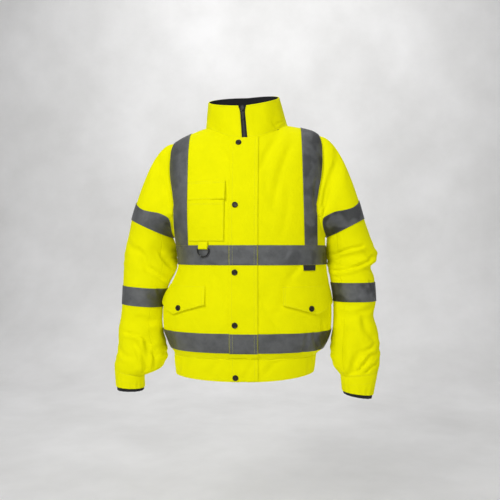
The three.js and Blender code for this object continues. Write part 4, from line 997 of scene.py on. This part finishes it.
for name, (low, high) in (("chest_tape", CHEST_TAPE), ("waist_tape", WAIST_TAPE)):
    for side, half in SIDES:
        tape_ready(f"{name}_{half}", *front_panel(side, low, high, inner=FLAP_HALF + 0.5))
    tape_ready(f"{name}_back", *back_panel(low, high))
    grid, normal = flap_cloth(FLAP_FRONT, low, high, FLAP_HALF - 0.5, near=(1, 3, 8.5, 11.5))
    tape_ready(f"{name}_flap", grid, normal, lift=FLAP_TAPE_LIFT)
    edges = [(edge, by) for by in (1.6, 8.5) for edge in ("first", "last")]
    stitch("yellow", grid, normal, edges, FLAP_TAPE_LIFT + TAPE + THREAD_LIFT)
print("level tapes", [row[0] for row in SHEETS if "tape" in row[0]])

# %% brace tapes
BRACE_EDGE = {"right": (144, 150), "left": (155, 147), "back": (150, 149)}
BRACE_OUTER = (188, 185)
BRACE_MARGIN = 5


def brace_turns(side, edge, level, s):
    """Turns of a brace tape's inner and outer edge at each level of a panel."""
    up = np.clip((level - CHEST_TAPE[0]) / (CARRIED_AT - CHEST_TAPE[0]), 0, 1)
    armhole = read(ARMHOLE, "share", "x", share_of(level)) - BRACE_MARGIN
    outer = np.where(level <= YOKE, mix(*BRACE_OUTER, up), armhole)
    return turn_of(mix(*edge, up) * side, s, side), turn_of(outer * side, s, side)


def brace(side, name):
    """Up the front and down the back in one strip, from chest tape to chest tape."""
    strips = []
    for face, edge in ((-1, BRACE_EDGE[name]), (1, BRACE_EDGE["back"])):
        level = levels(CHEST_TAPE[1] + 0.3, CARRIED_AT)[:, None]
        s = section(level)
        start, end = brace_turns(side, edge, level, s)
        x = across_at(mix(start, end, np.linspace(0, 1, 15)[None, :]), s, side)
        strips.append(body_at(face, x, height_at(face, x, level)))
    base = np.concatenate([strips[0], strips[1][-2::-1]])
    normal = facing_out(base)
    return moved(base, normal, -crease_depth(base[..., 0], base[..., 2], normal[..., 1])), normal


for side, name in SIDES:
    tape_ready(f"brace_tape_{name}", *brace(side, name), edges=("first", "last"))
print("brace tape cut", SHEETS[-1])

# %% [markdown]
# ## Sleeves
# A sleeve is a bent tube of rings. At the top it starts on the armhole's seam, so the seam's own
# points are the first ring, and a curve of second degree swings from there to the first whole
# ring. The smooth curve through all the rings then gives every point between them.

# %% sleeve rings: outer and inner point from the front, middle and half depth front to back
SLEEVE_RINGS = {
    "left": table("ox oz ix iz y deep", [
        (319, 422, 220, 371, 10, 76), (332, 385, 220, 348, 12, 74), (345, 351, 221, 328, 13, 72),
        (356, 325, 223, 310, 14, 70), (352, 308, 223, 296, 13, 67), (337, 289, 224, 283, 10, 66),
        (345, 268, 227, 267, 7, 65), (347, 251, 230, 250, 4, 64), (349, 201, 237, 200, -3, 60),
        (342, 163, 238, 168, -9, 58), (351, 128, 235, 132, -15, 58), (356, 92, 228, 97, -20, 57),
        (357, 60, 226, 64, -25, 54), (355, 33, 232, 34, -30, 49), (350, 15, 252, 5, -34, 42),
    ]),
    "right": table("ox oz ix iz y deep", [
        (315, 421, 205, 370, 8, 76), (322, 388, 199, 350, 9, 74), (330, 356, 197, 334, 9, 72),
        (336, 327, 195, 316, 9, 70), (338, 300, 193, 294, 7, 68), (338, 281, 198, 275, 5, 66),
        (338, 261, 209, 254, 2, 65), (338, 241, 218, 232, -1, 64), (339, 192, 231, 183, -7, 60),
        (341, 158, 233, 150, -12, 59), (346, 122, 228, 119, -19, 59), (345, 88, 217, 86, -26, 58),
        (348, 56, 212, 54, -32, 55), (353, 32, 227, 22, -37, 49), (352, 19, 273, 1, -41, 40),
    ]),
}
CUFF_END = {
    "left": dict(ox=339, oz=-43, ix=255, iz=-34, y=-38, deep=38),
    "right": dict(ox=348, oz=-26, ix=271, iz=-30, y=-44, deep=37),
}
CAP_SHARES = (0, 0.12, 0.3, 0.55, 0.88)
CAP_RISE, CAP_SPREAD, CAP_LOW_RISE, CAP_HOLD = 97, 14, 8, 0.82
SEAM_LEVELS = (368, 378, 398, 425, 450, 495.1, 540.2, 581.2, 618.1, 644.75, 655)
HALF_STEPS = 10
UNDER_SEAM = 3
UPPER_TAPE_ROWS, LOWER_TAPE_ROWS = (4, 5), (12, 13)
SLEEVE_FINE, SLEEVE_BROAD = 2.3, 1.15
DEEPEST = 9.5
SLEEVE_HUGS = [dict(row=7.2, deep=3.4), dict(row=14.0, deep=2.4)]


def bent(v):
    """sign(v) |v|^(2/n)"""
    return np.sign(v) * np.abs(v) ** (2 / SLEEVE_ROUND)


def ring_at(ring, side, turn):
    """Superellipse ring through its inner and outer points; turn 0 is outside, pi/2 in front."""
    out = (1 + bent(np.cos(turn))) / 2
    y = ring["y"] - ring["deep"] * bent(np.sin(turn))
    return np.stack([side * mix(ring["ix"], ring["ox"], out), y, mix(ring["iz"], ring["oz"], out)], -1)


def armhole_at(side, step):
    """Points of the armhole's seam: step 0 under the arm, 10 on the shoulder, 20 under it again."""
    up = np.minimum(step, 2 * HALF_STEPS - step)
    level = curve(np.arange(HALF_STEPS + 1), SEAM_LEVELS, up)
    x = across_at(edge_turn(level, side), section(level), side)
    front, back = [body_at(face, x, height_at(face, x, level)) for face in (-1, 1)]
    return np.where((step <= HALF_STEPS)[:, None], front, back)


def sleeve_rows(side, name, step):
    """The sleeve's key rows: five on the cap, then its rings."""
    turn = np.pi * (1 - step / HALF_STEPS)
    seam = armhole_at(side, step)
    rings = SLEEVE_RINGS[name]
    first = ring_at(rings[0], side, turn)
    middle = (seam + first) / 2
    middle[:, 2] += CAP_RISE * np.maximum(0, np.cos(turn)) ** 2 + CAP_LOW_RISE
    middle[:, 1] -= CAP_SPREAD * np.sin(turn)
    under = np.minimum(step, 2 * HALF_STEPS - step)
    held = 1 - CAP_HOLD * bell(under - 2, 3)
    rows = []
    for share in CAP_SHARES:
        t = (share * held)[:, None]
        rows.append(seam * (1 - t) ** 2 + middle * 2 * t * (1 - t) + first * t ** 2)
    return np.stack(rows + [ring_at(ring, side, turn) for ring in rings])


def sleeve_cloth(side, name, step, low=0.0, high=19.0, pitch=3.0):
    """Cloth of a sleeve between two key rows, at the given steps round it. Low and high are row
    numbers, and the curve's own key is the mean distance run from row to row."""
    every = np.linspace(0, 2 * HALF_STEPS, 41)[:-1]
    key_rows = sleeve_rows(side, name, every)
    run = np.append(0, np.cumsum(np.linalg.norm(np.diff(key_rows, axis=0), axis=-1).mean(axis=1)))
    ends = np.interp([low, high], np.arange(len(run)), run)
    at = spaced(ends[0], ends[1], pitch)
    rows = curve(run, sleeve_rows(side, name, np.mod(step, 2 * HALF_STEPS)), at)
    ahead = curve(run, sleeve_rows(side, name, np.mod(step + 0.2, 2 * HALF_STEPS)), at)
    behind = curve(run, sleeve_rows(side, name, np.mod(step - 0.2, 2 * HALF_STEPS)), at)
    across = ahead - behind
    normal = unit(np.cross(across, np.gradient(rows, axis=0)))
    centre = curve(run, key_rows.mean(axis=1), at)[:, None]
    normal = normal * np.sign(np.sum(normal * (rows - centre)))
    depth = crease_depth(rows[..., 0], rows[..., 2], normal[..., 1], SLEEVE_FINE, SLEEVE_BROAD)
    turn = np.pi * (1 - step / HALF_STEPS)[None, :]
    depth = DEEPEST * np.tanh(depth / DEEPEST) + side_puckers(name, run, at[:, None], turn)
    depth = depth * (smooth(at / 14) * smooth((run[-1] + 1 - at) / 12))[:, None]
    grid = moved(rows, normal, -depth)
    if low:
        return grid, normal
    under = grid[:1] + unit(grid[:1] - grid[1:2]) * TUCK - normal[:1] * TUCK
    return np.concatenate([under, grid]), np.concatenate([normal[:1], normal])


SIDE_PUCKERS = {
    "left": table("row turn wide pitch deep", [
        (8.4, 0.0, 0.5, 22.95, 1.32), (16.5, 0.1, 0.6, 28.35, 1.2), (8.2, 3.1, 0.6, 25.65, 1.44),
        (17.0, 3.0, 0.6, 24.3, 1.44), (4.0, -0.4, 0.5, 35.1, 0.72),
    ]),
    "right": table("row turn wide pitch deep", [
        (8.6, 0.0, 0.5, 24.3, 0.96), (16.8, -0.1, 0.6, 27.0, 1.08), (8.0, 3.1, 0.6, 24.3, 1.44),
        (16.8, 3.1, 0.7, 22.95, 1.68), (4.2, -0.5, 0.5, 32.4, 0.72),
    ]),
}
PUCKER_RUN, HUG_RUN, HUG_TURN = 34, 44, 0.6


def side_puckers(name, run, at, turn):
    """Short creases across the sleeve's outer and inner side, which the view from the front can't
    place: deep cos(2 pi d / pitch + bend) e^-(d/34)^2 e^-(turn/wide)^2 round a key row. Beside
    the body, two wide bells swell the sleeve out towards it."""
    total = np.zeros(np.broadcast(at, turn).shape)
    for row in SIDE_PUCKERS[name]:
        d = at - np.interp(row["row"], np.arange(len(run)), run)
        away = np.angle(np.exp(1j * (turn - row["turn"])))
        wave = np.cos(TURN * d / row["pitch"] + 1.3 * away)
        total = total + row["deep"] * wave * bell(d, PUCKER_RUN) * bell(away, row["wide"])
    away = np.angle(np.exp(1j * (turn - np.pi)))
    for hug in SLEEVE_HUGS:
        d = at - np.interp(hug["row"], np.arange(len(run)), run)
        total = total - hug["deep"] * bell(d, HUG_RUN) * bell(away, HUG_TURN)
    return total


def steps_round(start, end, pitch=0.15):
    """Steps round the sleeve from one seam to the other, closer beside both."""
    return spaced(start, end, pitch, near=(0.05, 0.13, 0.3))


SLEEVE_PARTS = {
    "top": (UNDER_SEAM + 0.01, 2 * HALF_STEPS - UNDER_SEAM - 0.01),
    "under": (0.01 - UNDER_SEAM, UNDER_SEAM - 0.01),
}
for side, name in SIDES:
    for kind, (start, end) in SLEEVE_PARTS.items():
        grid, normal = sleeve_cloth(side, name, steps_round(start, end))
        seamed = sewn(grid, normal, ("low", "high", "first", "last"))
        sew(f"sleeve_{name}_{kind}", seamed, normal, **LINED)
        if kind == "top":
            stitch("yellow", grid, normal, [("low", 6.0)], SEAM_THREAD_LIFT)
            stitch("yellow", grid, normal, [("high", 3.0)], THREAD_LIFT)
    for level, (low, high) in (("upper", UPPER_TAPE_ROWS), ("lower", LOWER_TAPE_ROWS)):
        step = np.linspace(0, 2 * HALF_STEPS, 141)[:-1]
        grid, normal = sleeve_cloth(side, name, step, low, high, 3.0)
        tape_ready(f"sleeve_tape_{name}_{level}", grid, normal, wrap=True)
print("sleeve cut", [row for row in SHEETS if row[0].startswith("sleeve_left")])

# %% [markdown]
# ## Cuffs
# Elastic inside the cuff draws it into soft ribs that deepen towards its end. A dark lining sits
# inside and shows as a thin line below.

# %% cuffs
CUFF_RIBS = 15
CUFF_RIB_DEPTH = 1.3
CUFF_LINING_DROP = 7
CUFF_LENGTH = 60
CUFF_STITCHES = (("low", 3.0), ("low", 24.0), ("high", 4.0))
CUFF_LINING = dict(outer=-2.9, inner=-4.0, finishes=["lining"], slot="lining")


def cuff_cloth(side, name, low, high, ribs=1.0):
    """Rings mixed from the sleeve's last ring to the cuff's end: share 0 to 1, ribs as cosines."""
    share = shares(CUFF_LENGTH, 2.6, low, high, near=(1, 3))[:, None]
    turn = np.linspace(np.pi, -np.pi, 12 * CUFF_RIBS + 1)[None, :-1]
    ring = {k: mix(SLEEVE_RINGS[name][-1][k], CUFF_END[name][k], share) for k in CUFF_END[name]}
    base = ring_at(ring, side, turn)
    normal = turned_out(base, base.mean(axis=1, keepdims=True), wrap=True)
    wander = 0.8 * np.sin(2 * turn + 3 * share) + 0.5 * np.sin(5 * turn)
    rib = 0.5 - 0.5 * np.cos(CUFF_RIBS * turn + wander)
    depth = CUFF_RIB_DEPTH * ribs * rib * smooth(share * 1.2)
    depth = depth + TUCK * ribs * smooth((0.02 - share) / 0.03)
    return moved(base, normal, -depth), normal


for side, name in SIDES:
    grid, normal = cuff_cloth(side, name, -0.03, 1)
    sew(f"cuff_{name}", grid, normal, held="gathered", wrap=True, **LINED)
    stitch("yellow", grid, normal, CUFF_STITCHES, THREAD_LIFT)
    length = SLEEVE_RINGS[name][-1]["iz"] - CUFF_END[name]["iz"]
    grid, normal = cuff_cloth(side, name, 0.5, 1 + CUFF_LINING_DROP / length, ribs=0.8)
    sew(f"cuff_lining_{name}", grid, normal, held="gathered", wrap=True, **CUFF_LINING)
print("cuff cut", SHEETS[-2])

# %% [markdown]
# ## Pockets
# A phone pocket is a small bag with its own flap, sewn on the chest beside the brace tape. The flap
# lies over the bag's mouth, so it stands off the chest, most at its free lower corner by the zip.
# The side pockets are cut into the panel, and only their pointed flaps show.

# %% phone pocket
POCKET = dict(left=-142.5, right=-49.0, low=359.8, high=466.0, puff=3.2)
POCKET_FLAP = dict(left=-143.5, right=-47.0, low=464.0, high=514.0, stand=8.2)
PATCH_RUN = 100
PATCH_THREAD_LIFT = SHELL + THREAD_LIFT
POCKET_STITCHES = (("first", 2.4), ("last", 2.4), ("low", 2.4), ("high", 12.0), ("high", 15.0))
POCKET_FLAP_STITCHES = (("first", 2.6), ("last", 2.6), ("low", 2.6), ("high", 2.6), ("high", 7.5))


def patch(box, lift, pitch=2.6):
    """A rectangle on the front, seen straight on, moved out by its own lift(u, v)."""
    u, v = shares(PATCH_RUN, pitch)[None, :], shares(PATCH_RUN, pitch)[:, None]
    x, z = mix(box["left"], box["right"], u + 0 * v), mix(box["low"], box["high"], v + 0 * u)
    grid, normal = on_body(-1, x, z)
    return moved(grid, normal, lift(u, v)), normal


def bag_lift(u, v):
    """puff sin(pi u)^0.6 min(1, 3 v) + 2.6 u^7, so its edge by the flap stands off, with slack folds."""
    slack = 0.5 * np.sin(TURN * (u * 1.3 + v * 0.4)) * np.sin(np.pi * u) * np.sin(np.pi * v)
    round_over = np.sin(np.pi * np.clip(u, 0, 1)) ** 0.6
    full = POCKET["puff"] * round_over * np.minimum(1, 3 * v) + 2.6 * u ** 7
    return LIFT + full + slack


def flap_lift(u, v):
    """stand (1 - v)^0.8 (0.4 + 0.6 u^2) with its edge by the zip curled out and a slow wave."""
    full = POCKET_FLAP["stand"] * (1 - v) ** 0.8 * (0.4 + 0.6 * u ** 2)
    curl = 2.2 * u ** 6 * np.sin(np.pi * v)
    return LIFT + full + curl + 0.4 * np.sin(TURN * 1.5 * u) * (1 - v)


grid, normal = patch(POCKET, bag_lift)
sew("phone_pocket", grid, normal, on=["front_right_cloth"], **PATCH)
stitch("yellow", grid, normal, POCKET_STITCHES, PATCH_THREAD_LIFT)
grid, normal = patch(POCKET_FLAP, flap_lift)
sew("phone_pocket_flap", grid, normal, on=["phone_pocket_cloth"], **PATCH)
stitch("yellow", grid, normal, POCKET_FLAP_STITCHES, PATCH_THREAD_LIFT)

# %% side pocket flaps
SIDE_FLAP = dict(inner=97.0, top=246.0, corner=199.0, point=171.0, stand=4.5, reach=0.7)
SIDE_FLAP_ACROSS, SIDE_FLAP_DOWN = 110, 70
SIDE_FLAP_STITCHES = (("first", 2.4), ("first", 7.6), ("last", 2.4), ("low", 2.4), ("high", 2.4))


def side_flap(side):
    """Between two turns of the body, top edge level; the lower edge is mix(corner, point, 1 - |2u - 1|)."""
    u = shares(SIDE_FLAP_ACROSS, 2.4)[None, :]
    v = shares(SIDE_FLAP_DOWN, 2.4)[:, None]
    low = mix(SIDE_FLAP["corner"], SIDE_FLAP["point"], 1 - np.abs(2 * u - 1))
    z = mix(low, SIDE_FLAP["top"], v)
    s = section(z)
    start = turn_of(SIDE_FLAP["inner"] * side, s, side)
    end = mix(turn_of(BRACE_OUTER[0] * side, s, side), np.pi / 2, SIDE_FLAP["reach"])
    grid, normal = on_body(-1, across_at(mix(start, end, u), s, side), z)
    wave = 0.5 * np.sin(TURN * 1.6 * u) * (1 - v)
    lift = LIFT + SIDE_FLAP["stand"] * (1 - v) + 1.1 * (1 - u) ** 8 + wave
    return moved(grid, normal, lift), normal


for side, name in SIDES:
    grid, normal = side_flap(side)
    sew(f"pocket_flap_{name}", grid, normal, on=[f"front_{name}_cloth"], **PATCH)
    stitch("yellow", grid, normal, SIDE_FLAP_STITCHES, PATCH_THREAD_LIFT)
print("pocket cut", SHEETS[-1])

# %% label, left bare
LABEL = dict(left=150.7, right=181.6, low=284.5, high=298.4, wall=0.6, bend=0.8)
x = np.linspace(LABEL["left"], LABEL["right"], 13)[None, :]
z = np.linspace(LABEL["low"], LABEL["high"], 7)[:, None]
grid, normal = on_body(-1, x + 0 * z, z + 0 * x)
bend = LABEL["bend"] * np.sin(np.pi * (x - LABEL["left"]) / (LABEL["right"] - LABEL["left"]))
grid = moved(grid, normal, bend * (LABEL["high"] - z) / 14)
sew("label", grid, normal, LIFT + LABEL["wall"], LIFT, ["webbing"], "black_label", held="laid",
    on=["front_left_cloth"])

# %% [markdown]
# ## Seams and top-stitching
# Stitches are what tells the eye how big a garment is. Each is a slim eight-sided grain of thread,
# 2.5 mm long, and all those of one thread are one mesh.

# %% stitch meshes
for name in ("front_right", "front_left"):
    stitch("yellow", *PANELS[name], [("low", 5.0)], SEAM_THREAD_LIFT)
    stitch("yellow", *PANELS[name], [("last", 6.0)], THREAD_LIFT)
stitch("yellow", *PANELS["back"], [("first", 6.0), ("last", 6.0)], THREAD_LIFT)
stitch("yellow", *PANELS["back"], [("low", 5.0)], SEAM_THREAD_LIFT)
COLLAR_STITCHES = (("high", 4.5), ("low", 5.0), ("first", 3.5), ("last", 3.5))
stitch("yellow", *PANELS["collar"], COLLAR_STITCHES, THREAD_LIFT)
for name in BANDS:
    stitch("yellow", *PANELS[name], (("high", 3.0), ("low", 5.0)), THREAD_LIFT)

STITCH_SETS = {"yellow": ("thread", "hi_vis_cloth"), "tape": ("tape_thread", "reflective_tape")}
FINISH["tape_thread"] = dark_cloth("grey_thread", (0.14, 0.15, 0.14, 1), (0.22, 0.23, 0.21, 1), 0.0008)
for group, (finish, slot) in STITCH_SETS.items():
    parts = [repeat(STITCH_POINTS, STITCH_FACES, *walk(line, out, STITCH_PITCH), STITCH_SIZE)
             for line, out in LINES[group]]
    piece = put_many(f"stitches_{group}", parts, finish)
    print(group, "stitches", len(piece.data.polygons) // len(STITCH_FACES))

# %% [markdown]
# ## Press studs
# A stud's cap is a turned shape: a rounded rim round a sunk middle. So it is a profile carried
# round a circle, set on the cloth where the CAD has it.

# %% press studs
STUD_RADIUS = 7.5
FLAP_STUDS = [(-15, 613), (-21.5, 450), (-21.5, 281), (-21.5, 148.5), (-21.5, 12)]
STUD_PROFILE = [(1.0, -1.4), (1.0, 1.1), (0.985, 1.6), (0.94, 2.1), (0.87, 2.4), (0.78, 2.5), (0.69, 2.35),
                (0.61, 2.0), (0.55, 1.78), (0.48, 1.72), (0.25, 1.74), (0.08, 1.76)]
STUD_SIDES = 40
POCKET_STUD = dict(from_middle=167.5, level=188)


def stud(name, place, out):
    """Profile (r, h) carried round: P = place + R r (cos a e1 + sin a e2) + h out, its middle closed."""
    e1 = unit(np.cross(out, [0, 0, 1]))
    e2 = np.cross(out, e1)
    angle = np.linspace(0, TURN, STUD_SIDES, endpoint=False)[None, :, None]
    r, h = np.array(STUD_PROFILE, float).T[..., None, None]
    rings = place + STUD_RADIUS * r * (np.cos(angle) * e1 + np.sin(angle) * e2) + h * out
    count = len(STUD_PROFILE)
    middles = [place + STUD_PROFILE[end][1] * out for end in (-1, 0)]
    points = np.concatenate([rings.reshape(-1, 3), middles])
    index = np.arange(count * STUD_SIDES).reshape(count, STUD_SIDES)
    faces = quads(index, count - 1, STUD_SIDES).reshape(-1, 4)
    top, base = index[-1], index[0]
    caps = np.concatenate([
        np.stack([top, np.roll(top, -1), np.full(STUD_SIDES, len(points) - 2)], -1),
        np.stack([np.roll(base, -1), base, np.full(STUD_SIDES, len(points) - 1)], -1)])
    triangles = np.concatenate([faces[:, [0, 1, 2]], faces[:, [0, 2, 3]], caps])
    a, b, c = points[triangles[0]]
    if np.dot(np.cross(b - a, c - a), (a + b + c) / 3 - place - out) < 0:
        triangles = triangles[:, ::-1]
    piece = put_mesh(f"{name}_cap", points, triangles, ["stud"])
    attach(piece, "root")
    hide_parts(name)


def cloth_point(x, z, lift):
    """Point lift above the front's cloth at x and z, and its direction."""
    grid, normal = on_body(-1, *np.meshgrid(x + np.array([-3.0, 0, 3.0]), z + np.array([-3.0, 0, 3.0])))
    return grid[1, 1] + normal[1, 1] * lift, normal[1, 1]


for number, (x, z) in enumerate(FLAP_STUDS, 1):
    stud(f"snap_flap_{number}", *cloth_point(x, z, FLAP_FRONT + 0.5))
over_flap = LIFT + SIDE_FLAP["stand"] * 0.85 + SHELL + 0.4
for side, name in SIDES:
    place, out = cloth_point(side * POCKET_STUD["from_middle"] + 1, POCKET_STUD["level"], over_flap)
    stud(f"snap_pocket_{name}", place, out)
print(len(FLAP_STUDS) + 2, "studs")

# %% [markdown]
# ## D-ring and its tab
# A moulded ring hangs in a folded loop of the same cloth. It is the piece that swings, so it is
# built round its own hinge: the line through the top of the ring, which the loop holds.

# %% D-ring
HINGES = {joint["name"]: joint for joint in frame["joints"]}
RING = dict(half=16.2, deep=22.0, corner=4.0, straight=2.0, wire=1.8)
RING_SIDES = 14


def hinge_frame(name):
    """The hinge's point and its three directions: along the bar, out of the cloth, and up."""
    joint = HINGES[name]
    place = np.array(joint["pos_m"], float) / MM + (0, 0, CARRIED_AT)
    level = -unit(np.array(joint["axis"], float))
    out = cloth_point(place[0], place[2], 0)[1]
    out = unit(out - level * np.dot(out, level))
    return place, level, out, unit(np.cross(level, -out))


def arc(cx, cz, rx, rz, start, end, count):
    """Points (cx + rx cos a, cz + rz sin a) between two angles."""
    a = np.linspace(start, end, count)
    return np.stack([cx + rx * np.cos(a), cz + rz * np.sin(a)], -1)


def ring_path():
    """Straight bar on top, rounded shoulders, and half an ellipse below."""
    half, deep, corner, straight = (RING[k] for k in ("half", "deep", "corner", "straight"))
    bar = np.stack([np.linspace(corner - half, half - corner, 12)[1:-1], np.zeros(10)], -1)
    return np.concatenate([
        arc(corner - half, -corner, corner, corner, np.pi, np.pi / 2, 8), bar,
        arc(half - corner, -corner, corner, corner, np.pi / 2, 0, 8),
        arc(0, -corner - straight, half, deep - corner - straight, 0, -np.pi, 40)])


def wire(name, path, radius, place, level, out, up):
    """P = path + radius (cos a side + sin a out), closed along the path and round it."""
    line = place + path[:, :1] * level + path[:, 1:] * up
    ahead = unit(np.roll(line, -1, axis=0) - np.roll(line, 1, axis=0))
    side = unit(np.cross(ahead, out))
    a = np.linspace(0, TURN, RING_SIDES, endpoint=False)[None, :, None]
    rings = line[:, None] + radius * (np.cos(a) * side[:, None] + np.sin(a) * out)
    index = np.arange(rings.shape[0] * RING_SIDES).reshape(-1, RING_SIDES)
    index = np.concatenate([index, index[:1]])
    faces = quads(index, len(index) - 1, RING_SIDES).reshape(-1, 4)
    a0, b0, c0, _ = rings.reshape(-1, 3)[faces[0]]
    if np.dot(np.cross(b0 - a0, c0 - a0), a0 - line[0]) < 0:
        faces = faces[:, ::-1]
    return put_mesh(name, rings.reshape(-1, 3), faces, ["ring"])


place, level, out, up = hinge_frame("d_ring_swing")
ring = wire("d_ring_wire", ring_path(), RING["wire"], place, level, out, up)
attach(ring, "ring")
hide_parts("d_ring")

# %% tab round the ring's bar
TAB = dict(half=12.9, top=16.4, loop=2.7, wall=1.1, back=3.0, lean=0.6)


def tab_cloth():
    """A strip 26 mm wide, seen from its side: down the cloth, half a circle under the bar, and
    back up, leaning in until it meets the pocket's lower edge."""
    back, loop, top = TAB["back"], TAB["loop"], TAB["top"]
    down = np.stack([np.full(6, -back), np.linspace(top, 0.4, 6)], -1)
    a = np.linspace(np.pi, TURN, 14)
    turn = np.stack([mix(-back, loop, (1 + np.cos(a)) / 2), loop * np.sin(a)], -1)
    leaning = mix(loop, -TAB["lean"], np.linspace(0, 1, 8) ** 1.3)
    side = np.concatenate([down, turn, np.stack([leaning, np.linspace(0.4, top, 8)], -1)])
    across = np.linspace(-TAB["half"], TAB["half"], 15)
    return place + across[None, :, None] * level + side[:, None, :1] * out + side[:, None, 1:] * up


grid = tab_cloth()
normal = turned_out(grid, place)
half_wall = TAB["wall"] / 2
sew("d_ring_tab", grid, normal, half_wall, -half_wall, ["yellow"], "hi_vis_cloth", held="folded")
print("tab cut", SHEETS[-1])

# %% slider and pull
for node in ("zip_slider", "zip_pull"):
    materials = frame["nodes"][node].data.materials
    materials.clear()
    materials.append(FINISH["slider"])
print("slider and pull keep their CAD shape")

# %% [markdown]
# ## Studio
# A pale floor runs up into a pale wall far behind, so that the jacket stands clear of it. One wide
# soft light comes from the front left and above, a weaker one from the right, and two more light
# the shoulders and the wall.

# %% backdrop and lights
BACKDROP = (0.78, 0.775, 0.765, 1)
FLOOR_Z = -1.25
WALL_Y = 3.4
BEND = 1.2
PALE = (0.90, 0.895, 0.89, 1)
run = np.linspace(0, np.pi / 2, 17)
bend = np.stack([WALL_Y - BEND + BEND * np.sin(run), FLOOR_Z + BEND * (1 - np.cos(run))], -1)
profile = np.concatenate([[(-5.0, FLOOR_Z)], bend, [(WALL_Y, 5.0)]])
x, y = np.meshgrid(np.linspace(-7, 7, 9), profile[:, 0])
z = np.repeat(profile[:, 1:], 9, axis=1)
sweep = np.stack([x, y, z], -1).reshape(-1, 3) / MM + (0, 0, CARRIED_AT)
index = np.arange(len(sweep)).reshape(-1, 9)
squares = quads(index, len(profile) - 1, 8).reshape(-1, 4)
f = Finish("studio_backdrop")
tone = f.ramp(f.noise(1.6, 6.0, 0.6), 0.35, 0.7)
FINISH["backdrop"] = f.done(Base_Color=f.blend(tone, BACKDROP, PALE), Roughness=0.9)
put_mesh("backdrop", sweep, squares, ["backdrop"])

JACKET = (0, 0, -0.25)
WALL_FOOT = (0.0, 3.4, 0.5)
LIGHTS = [
    dict(name="key", place=(-1.3, -2.7, 1.5), aim=JACKET, size=1.0, power=60),
    dict(name="fill", place=(2.0, -2.4, 0.4), aim=JACKET, size=1.4, power=12),
    dict(name="top", place=(0.2, 0.6, 2.6), aim=JACKET, size=2.4, power=26),
    dict(name="wall", place=(0.0, 1.8, 1.9), aim=WALL_FOOT, size=3.0, power=34),
]
for light in LIGHTS:
    lamp = bpy.data.lights.new(light["name"], "AREA")
    lamp.energy, lamp.size = light["power"], light["size"]
    holder = bpy.data.objects.new(light["name"], lamp)
    holder.location = light["place"]
    x, y, z = np.array(light["aim"]) - light["place"]
    holder.rotation_euler = (np.arctan2(np.hypot(x, y), -z), 0, np.arctan2(-x, y))
    bpy.context.scene.collection.objects.link(holder)

world = bpy.data.worlds.new("studio")
world.use_nodes = True
sky = world.node_tree.nodes["Background"].inputs
sky["Color"].default_value = (0.95, 0.96, 1.0, 1)
sky["Strength"].default_value = 0.27
scene = bpy.context.scene
scene.world = world
scene.view_settings.view_transform = "Standard"
scene.view_settings.look = "None"
print(len(LIGHTS), "lights")
